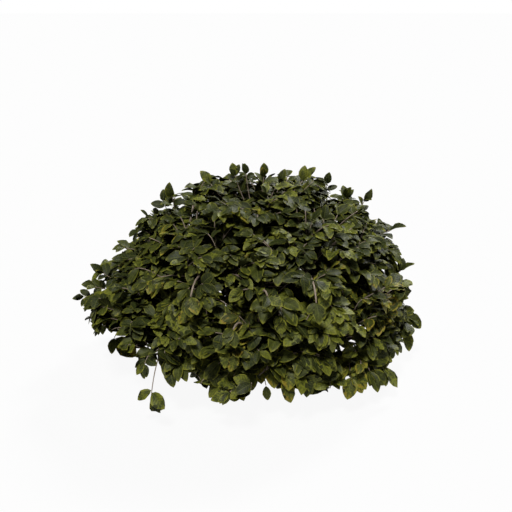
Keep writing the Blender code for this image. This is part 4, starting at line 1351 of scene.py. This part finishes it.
def leaf_finishes(colours):
    """The materials of the leaf pieces: one for each tint, then undersides of green and of turning leaves.

    The undersides' dark colours are painted shade.
    """
    made = []
    for (name, tint), cell in zip(TINTS.items(), TINT_CELLS):
        tones = [getattr(colours, part) for part in (tint.dark, tint.light, "vein", "margin", "ochre")]
        made.append(leaf_finish(f"leaf_{name}", cell, tones, True, tint.blotch, tint.rim))
    # Underside colours are painted shade: darker than real undersides, as if unlit.
    under = [colours.under_dark_painted_shade, colours.under_light_painted_shade, colours.vein, colours.under_light_painted_shade, colours.ochre]
    undersides = {"leaf_underside": 0.0, "leaf_underside_turning": UNDERSIDE_BLOTCH}
    for (name, blotch), cell in zip(undersides.items(), UNDER_CELLS):
        made.append(leaf_finish(name, cell, under, False, blotch, UNDERSIDE_RIM))
    return made


def twig_finish(name, colours):
    """Twig skin over the twig map: tan with grey lenticels and a darker, older foot."""
    finish = Finish(name, TWIG_GLOSS)
    place, _, along = finish.map_place()
    broad = finish.noise(place, *TWIG_BROAD)
    fine = finish.noise(place, *TWIG_FINE)
    young = (along + (broad - NOISE_MIDDLE) * YOUNG_RAGGED).rise(*YOUNG_BAND)
    colour = finish.blend(young, colours.twig_old, colours.twig_young)
    colour = finish.blend(fine.rise(*FLECK_BAND) * FLECKS_PALE, colour, colours.twig_pale)
    finish.bump(fine + broad, *TWIG_RELIEF)
    return finish.wear(colour, TWIG_ROUGHNESS)


def bark_finish(name, colours):
    """Bark over a limb: noise stretched along it, dark in the furrows, pale on worn ridges."""
    finish = Finish(name, BARK_GLOSS)
    place = finish.node("ShaderNodeAttribute", {"attribute_name": "bark_place"}, {}).outputs["Vector"]
    broad = finish.noise(place, *BARK_BROAD)
    fine = finish.noise(place, *BARK_FINE)
    patches = finish.noise(place, *BARK_PATCHES)
    colour = finish.blend(broad.rise(*FURROW_BAND), colours.bark_dark, colours.bark_middle)
    wide, narrow = WORN_MIX
    worn = (patches * wide + fine * narrow).rise(*WORN_BAND) * WORN_PALE
    finish.bump(broad + fine * BARK_GRAIN, *BARK_RELIEF)
    return finish.wear(finish.blend(worn, colour, colours.bark_pale), broad * BARK_DULL + BARK_ROUGHNESS)


def floor_finish(glow):
    """A plain pale floor. The eye sees it a little brighter than the light that it throws back."""
    finish = Finish("floor", 0.0)
    material = finish.wear(FLOOR_GREY, FLOOR_ROUGHNESS)
    bright = finish.node("ShaderNodeEmission", {}, {"Color": WHITE, "Strength": 1.0})
    finish.mix(finish.eye() * glow, finish.surface, bright, "Material Output")
    return material


def surround_world(strength):
    """Even light from all round, which the eye sees as plain white."""
    world = bpy.data.worlds.new("surround")
    world.use_nodes = True
    nodes = Nodes(world.node_tree)
    shade = nodes.tree.nodes["Background"]
    nodes.join(WHITE, shade.inputs["Color"])
    nodes.join(strength, shade.inputs["Strength"])
    white = nodes.node("ShaderNodeBackground", {}, {"Color": WHITE})
    nodes.mix(nodes.eye(), shade, white, "World Output")
    return world


def length_setting(name, description, default):
    """A size in metres."""
    return FloatProperty(name=name, description=description, default=default, unit="LENGTH")


def share_setting(name, description, default):
    """A share, factor or strength."""
    return FloatProperty(name=name, description=description, default=default)


def count_setting(name, description, default, least):
    """A whole number."""
    return IntProperty(name=name, description=description, default=default, min=least)


def angle_setting(name, description, degrees):
    """An angle, whose default is given in degrees."""
    return FloatProperty(name=name, description=description, default=math.radians(degrees), subtype="ANGLE")


def colour_setting(name, description, default):
    """A colour."""
    return FloatVectorProperty(
        name=name, description=description, default=default, subtype="COLOR", size=3, min=0.0, max=1.0
    )


class CrownSettings(bpy.types.PropertyGroup):
    """Sizes of the crown."""

    top: length_setting("Top", "Height of the crown", 0.730)
    reach_right: length_setting("Reach Right", "Reach to +X", 0.590)
    reach_left: length_setting("Reach Left", "Reach to -X", 0.630)
    reach_front: length_setting("Reach Front", "Reach to -Y", 0.535)
    reach_back: length_setting("Reach Back", "Reach to +Y", 0.560)
    leaf_share: share_setting("Leaf Reach", "How far leaves may go, as a share of the crown's reach", 1.00)
    long_share: share_setting(
        "Long Spray Reach", "How far leaves of long sprays may go, as such a share", 1.14
    )
    lowest_leaf: length_setting("Lowest Leaf", "Height that no leaf hangs below", 0.034)


class TwigSettings(bpy.types.PropertyGroup):
    """Sizes of the twigs."""

    arm_radius: length_setting("Arm Radius", "Radius of an arm", 0.0042)
    fork_radius: length_setting("Fork Radius", "Radius at a fork", 0.0035)
    side_radius: length_setting("Side Radius", "Foot of a side twig", 0.0023)
    tip_radius: length_setting("Tip Radius", "Radius of twig tips", 0.0013)
    side_length: length_setting("Side Length", "Length of side twigs", 0.135)
    shoot_reach: share_setting("Shoot Reach", "How far shoots pass the solids' shoots, as a factor", 1.07)
    leaf_gap: length_setting("Leaf Gap", "Distance between pairs of leaves", 0.031)
    most_nodes: count_setting("Most Pairs", "Most leaf pairs on one twig", 4, 1)
    inner_shoots: count_setting("Inner Shoots", "How many shoots grow under the outer ones", 130, 0)
    crown_shoots: count_setting("Crown Shoots", "How many shoots close the crown under its top", 22, 1)


class LeafSettings(bpy.types.PropertyGroup):
    """Sizes and shape of the leaves."""

    length: length_setting("Length", "Length of a large leaf", 0.076)
    width_share: share_setting("Width", "Width as a share of length", 0.60)
    thickness: length_setting("Thickness", "Thickness at midrib", 0.0007)
    stalk_radius: length_setting("Stalk", "Half width of the stalk", 0.0011)
    droop: share_setting("Droop", "How far leaves hang below their twig's way", 0.16)
    curl: share_setting("Curl", "How far the tip bends down, by length", 0.07)
    fold: share_setting("Fold", "Rise of each half from the midrib", 0.26)
    wave: share_setting("Wave", "Wave of the margin, by half width", 0.12)
    flatten: share_setting("Flatten", "How far high leaves turn level", 0.55)
    own_tint: share_setting("Own Tint", "Share of leaves unlike the rest of their spray", 0.3)


class ColourSettings(bpy.types.PropertyGroup):
    """Base colours of leaves, twigs and bark."""

    deep_dark: colour_setting("Deep, Dark", "Shaded part of the deepest leaves", (0.012, 0.017, 0.003))
    deep_light: colour_setting("Deep, Light", "Pale part of the deepest leaves", (0.026, 0.036, 0.005))
    olive_dark: colour_setting("Olive, Dark", "Shaded part of olive leaves", (0.027, 0.034, 0.004))
    olive_light: colour_setting("Olive, Light", "Pale part of olive leaves", (0.070, 0.083, 0.009))
    fresh_dark: colour_setting("Fresh, Dark", "Shaded part of fresh leaves", (0.066, 0.078, 0.008))
    fresh_light: colour_setting("Fresh, Light", "Pale part of fresh leaves", (0.175, 0.190, 0.019))
    vein: colour_setting("Veins", "Midrib and side veins", (0.118, 0.130, 0.026))
    margin: colour_setting("Margin", "Thin rim of every leaf", (0.215, 0.215, 0.022))
    ochre: colour_setting("Ochre", "Blotches of turning leaves", (0.290, 0.190, 0.018))
    # Underside colours are painted shade: darker than real undersides, which are paler, as if unlit.
    under_dark_painted_shade: colour_setting("Underside, Dark", "Shaded part of undersides", (0.022, 0.026, 0.008))
    under_light_painted_shade: colour_setting("Underside, Light", "Pale part of undersides", (0.042, 0.047, 0.014))
    twig_old: colour_setting("Twig, Old", "Foot of twigs", (0.140, 0.107, 0.078))
    twig_young: colour_setting("Twig, Young", "Ends of twigs", (0.280, 0.218, 0.162))
    twig_pale: colour_setting("Twig, Pale", "Grey flecks on twigs", (0.340, 0.300, 0.250))
    bark_dark: colour_setting("Bark, Dark", "Furrows of the bark", (0.050, 0.038, 0.028))
    bark_middle: colour_setting("Bark, Middle", "Most of the bark", (0.150, 0.115, 0.085))
    bark_pale: colour_setting("Bark, Pale", "Worn ridges of the bark", (0.270, 0.230, 0.185))


class BarkSettings(bpy.types.PropertyGroup):
    """Relief of the bark."""

    depth: length_setting("Depth", "Depth of the stem's bark", 0.0013)


class StageSettings(bpy.types.PropertyGroup):
    """Camera and light."""

    distance: length_setting("Distance", "Camera to target", 2.5)
    elevation: angle_setting("Elevation", "Camera's angle above level", 20.0)
    target_height: length_setting("Target Height", "Height that the camera looks at", 0.3985)
    lens: share_setting("Lens", "Focal length in millimetres", 50.0)
    key_height: angle_setting("Key Height", "Key light above level", 44.0)
    key_turn: angle_setting("Key Turn", "Key light's turn from the front to +X", 146.0)
    key_strength: share_setting("Key", "Strength of the key light", 2.4)
    key_softness: angle_setting("Key Softness", "How wide the key light is", 12.0)
    fill_height: angle_setting("Fill Height", "Fill light above level", 61.0)
    fill_turn: angle_setting("Fill Turn", "Fill light's turn from the front to +X", -15.0)
    fill_strength: share_setting("Fill", "Strength of the fill light", 2.75)
    fill_softness: angle_setting("Fill Softness", "How wide the fill light is", 12.0)
    surround: share_setting("Surround", "Strength of the light from all round", 0.03)
    floor_glow: share_setting("Floor Glow", "How much plain white the floor shows", 0.93)


def settle(item, materials, nodes):
    """Give a piece its finishes, hang it on the root and hide the nodes that it takes the place of."""
    for material in materials:
        item.data.materials.append(material)
    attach(item, "root")
    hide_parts(*nodes)


def joined_pieces(masses):
    """For each joined piece: its name, the numbers of its masses and the nodes that it stands for."""
    for name, labels in PIECES.items():
        owned = [index for index, mass in enumerate(masses) if mass.label in labels]
        yield name, owned, [f"foliage_{label}" for label in labels]


class MakeStem(bpy.types.Operator):
    """Make the stem with its bark"""

    bl_idname = "tea_bush.make_stem"
    bl_label = "Stem"

    def execute(self, context):
        """Build one closed limb with relief in place of the plain stem."""
        scene = context.scene
        item = limbs_mesh("stem_bark", [stem_limb(scene.tea_bush_bark)], 1)
        settle(item, [bark_finish("stem_bark", scene.tea_bush_colours)], ["stem"])
        return {"FINISHED"}


class MakeBoughs(bpy.types.Operator):
    """Make the boughs with their bark"""

    bl_idname = "tea_bush.make_boughs"
    bl_label = "Boughs"

    def execute(self, context):
        """Build every bough from the stem to its mass, joined as one piece."""
        scene = context.scene
        masses = all_masses(scene.tea_bush_crown)
        numbered = enumerate(masses, SEEDS["boughs"])
        limbs = [bough_limb(mass, scene.tea_bush_bark, seed) for seed, mass in numbered]
        item = limbs_mesh("boughs_bark", limbs, BOUGH_PATCHES)
        finish = bark_finish("bough_bark", scene.tea_bush_colours)
        settle(item, [finish], [f"bough_{mass.label}" for mass in masses])
        return {"FINISHED"}


class MakeTwigs(bpy.types.Operator):
    """Make the twigs of every mass"""

    bl_idname = "tea_bush.make_twigs"
    bl_label = "Twigs"

    def execute(self, context):
        """Build the twigs of each group of masses as one piece."""
        scene = context.scene
        masses, groups = grow_twigs(scene.tea_bush_crown, scene.tea_bush_twigs)
        finish = twig_finish("twig_skin", scene.tea_bush_colours)
        for name, owned, nodes in joined_pieces(masses):
            settle(twigs_mesh(f"twigs_{name}", groups, owned), [finish], nodes)
        return {"FINISHED"}


class MakeLeaves(bpy.types.Operator):
    """Make the leaves of every mass"""

    bl_idname = "tea_bush.make_leaves"
    bl_label = "Leaves"

    def execute(self, context):
        """Build the leaves of each group of masses as one piece."""
        scene = context.scene
        crown, twigs, leaf = scene.tea_bush_crown, scene.tea_bush_twigs, scene.tea_bush_leaves
        masses, groups = grow_twigs(crown, twigs)
        leaves = leaf_places(crown, twigs, leaf, groups)
        finishes = leaf_finishes(scene.tea_bush_colours)
        for seed, (name, owned, nodes) in enumerate(joined_pieces(masses), SEEDS["leaves"]):
            keep = np.isin(leaves[LEAF_MASS], owned)
            item = leaves_mesh(f"leaves_{name}", leaf, [part[keep] for part in leaves], seed)
            settle(item, finishes, nodes)
        return {"FINISHED"}


def aim(item, place, target):
    """Stand an object at a place so that its -Z points at a target."""
    back = unit(np.array(place, float) - np.array(target, float))
    item.location = place
    item.rotation_euler = (math.acos(back[2]), 0.0, math.atan2(back[1], back[0]) + math.pi / 2)


def front_way(height, turn):
    """The unit vector at a height above level and a turn from the front towards +X."""
    return np.array((math.sin(turn) * math.cos(height), -math.cos(turn) * math.cos(height), math.sin(height)))


def sun(name, height, turn, strength, softness):
    """A soft sun at a height above level and a turn from the front towards +X."""
    light = bpy.data.lights.new(name, "SUN")
    light.energy = strength
    light.angle = softness
    item = bpy.data.objects.new(name, light)
    bpy.context.scene.collection.objects.link(item)
    aim(item, front_way(height, turn) * SUN_DISTANCE, (0.0, 0.0, 0.0))


def stage_floor(glow):
    """The floor, one level square."""
    signs = ((-1, -1), (1, -1), (1, 1), (-1, 1))
    corners = [(across * FLOOR_HALF, along * FLOOR_HALF, FLOOR_LEVEL) for across, along in signs]
    floor = surface_mesh("floor", corners, [np.array([[0, 1, 2, 3]])])
    floor.data.materials.append(floor_finish(glow))


def stage_camera(stage):
    """A camera in front of the bush and above it."""
    camera = bpy.data.objects.new("camera", bpy.data.cameras.new("camera"))
    bpy.context.scene.collection.objects.link(camera)
    camera.data.lens = stage.lens
    camera.data.sensor_width = SENSOR_WIDTH
    camera.data.clip_end = CLIP_END
    target = UP * stage.target_height
    aim(camera, target + front_way(stage.elevation, 0.0) * stage.distance, target)
    return camera


class MakeStage(bpy.types.Operator):
    """Make the floor, the lamps and the camera"""

    bl_idname = "tea_bush.make_stage"
    bl_label = "Stage"

    def execute(self, context):
        """Build a plain pale floor, soft lamps, an even surround and the camera."""
        scene = context.scene
        stage = scene.tea_bush_stage
        stage_floor(stage.floor_glow)
        sun("key_sun", stage.key_height, stage.key_turn, stage.key_strength, stage.key_softness)
        sun("fill_sun", stage.fill_height, stage.fill_turn, stage.fill_strength, stage.fill_softness)
        scene.world = surround_world(stage.surround)
        scene.camera = stage_camera(stage)
        scene.view_settings.view_transform = "Standard"
        return {"FINISHED"}


class TeaBushPanel(bpy.types.Panel):
    """Sizes, colours and makers of the tea bush"""

    bl_idname = "VIEW3D_PT_tea_bush"
    bl_label = "Tea Bush"
    bl_space_type = "VIEW_3D"
    bl_region_type = "UI"
    bl_category = SIDEBAR_TAB

    def draw(self, context):
        """List each group of settings and each maker."""
        layout = self.layout
        for name, kind in SETTINGS.items():
            box = layout.box()
            box.label(text=name.replace("tea_bush_", "").capitalize())
            for setting in kind.__annotations__:
                box.prop(getattr(context.scene, name), setting)
        for maker in MAKERS:
            layout.operator(maker.bl_idname)


SETTINGS = {
    "tea_bush_crown": CrownSettings,
    "tea_bush_twigs": TwigSettings,
    "tea_bush_leaves": LeafSettings,
    "tea_bush_colours": ColourSettings,
    "tea_bush_bark": BarkSettings,
    "tea_bush_stage": StageSettings,
}
MAKERS = (MakeStem, MakeBoughs, MakeTwigs, MakeLeaves, MakeStage)


def register():
    """Register the settings, makers and panel, and hang the settings on the scene."""
    for kind in (*SETTINGS.values(), *MAKERS, TeaBushPanel):
        bpy.utils.register_class(kind)
    for name, kind in SETTINGS.items():
        setattr(bpy.types.Scene, name, PointerProperty(type=kind))


def unregister():
    """Undo register."""
    for name in SETTINGS:
        delattr(bpy.types.Scene, name)
    for kind in reversed((*SETTINGS.values(), *MAKERS, TeaBushPanel)):
        bpy.utils.unregister_class(kind)


def main():
    """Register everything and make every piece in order."""
    register()
    bpy.ops.tea_bush.make_stem()
    bpy.ops.tea_bush.make_boughs()
    bpy.ops.tea_bush.make_twigs()
    bpy.ops.tea_bush.make_leaves()
    bpy.ops.tea_bush.make_stage()


if __name__ == "__main__":
    main()
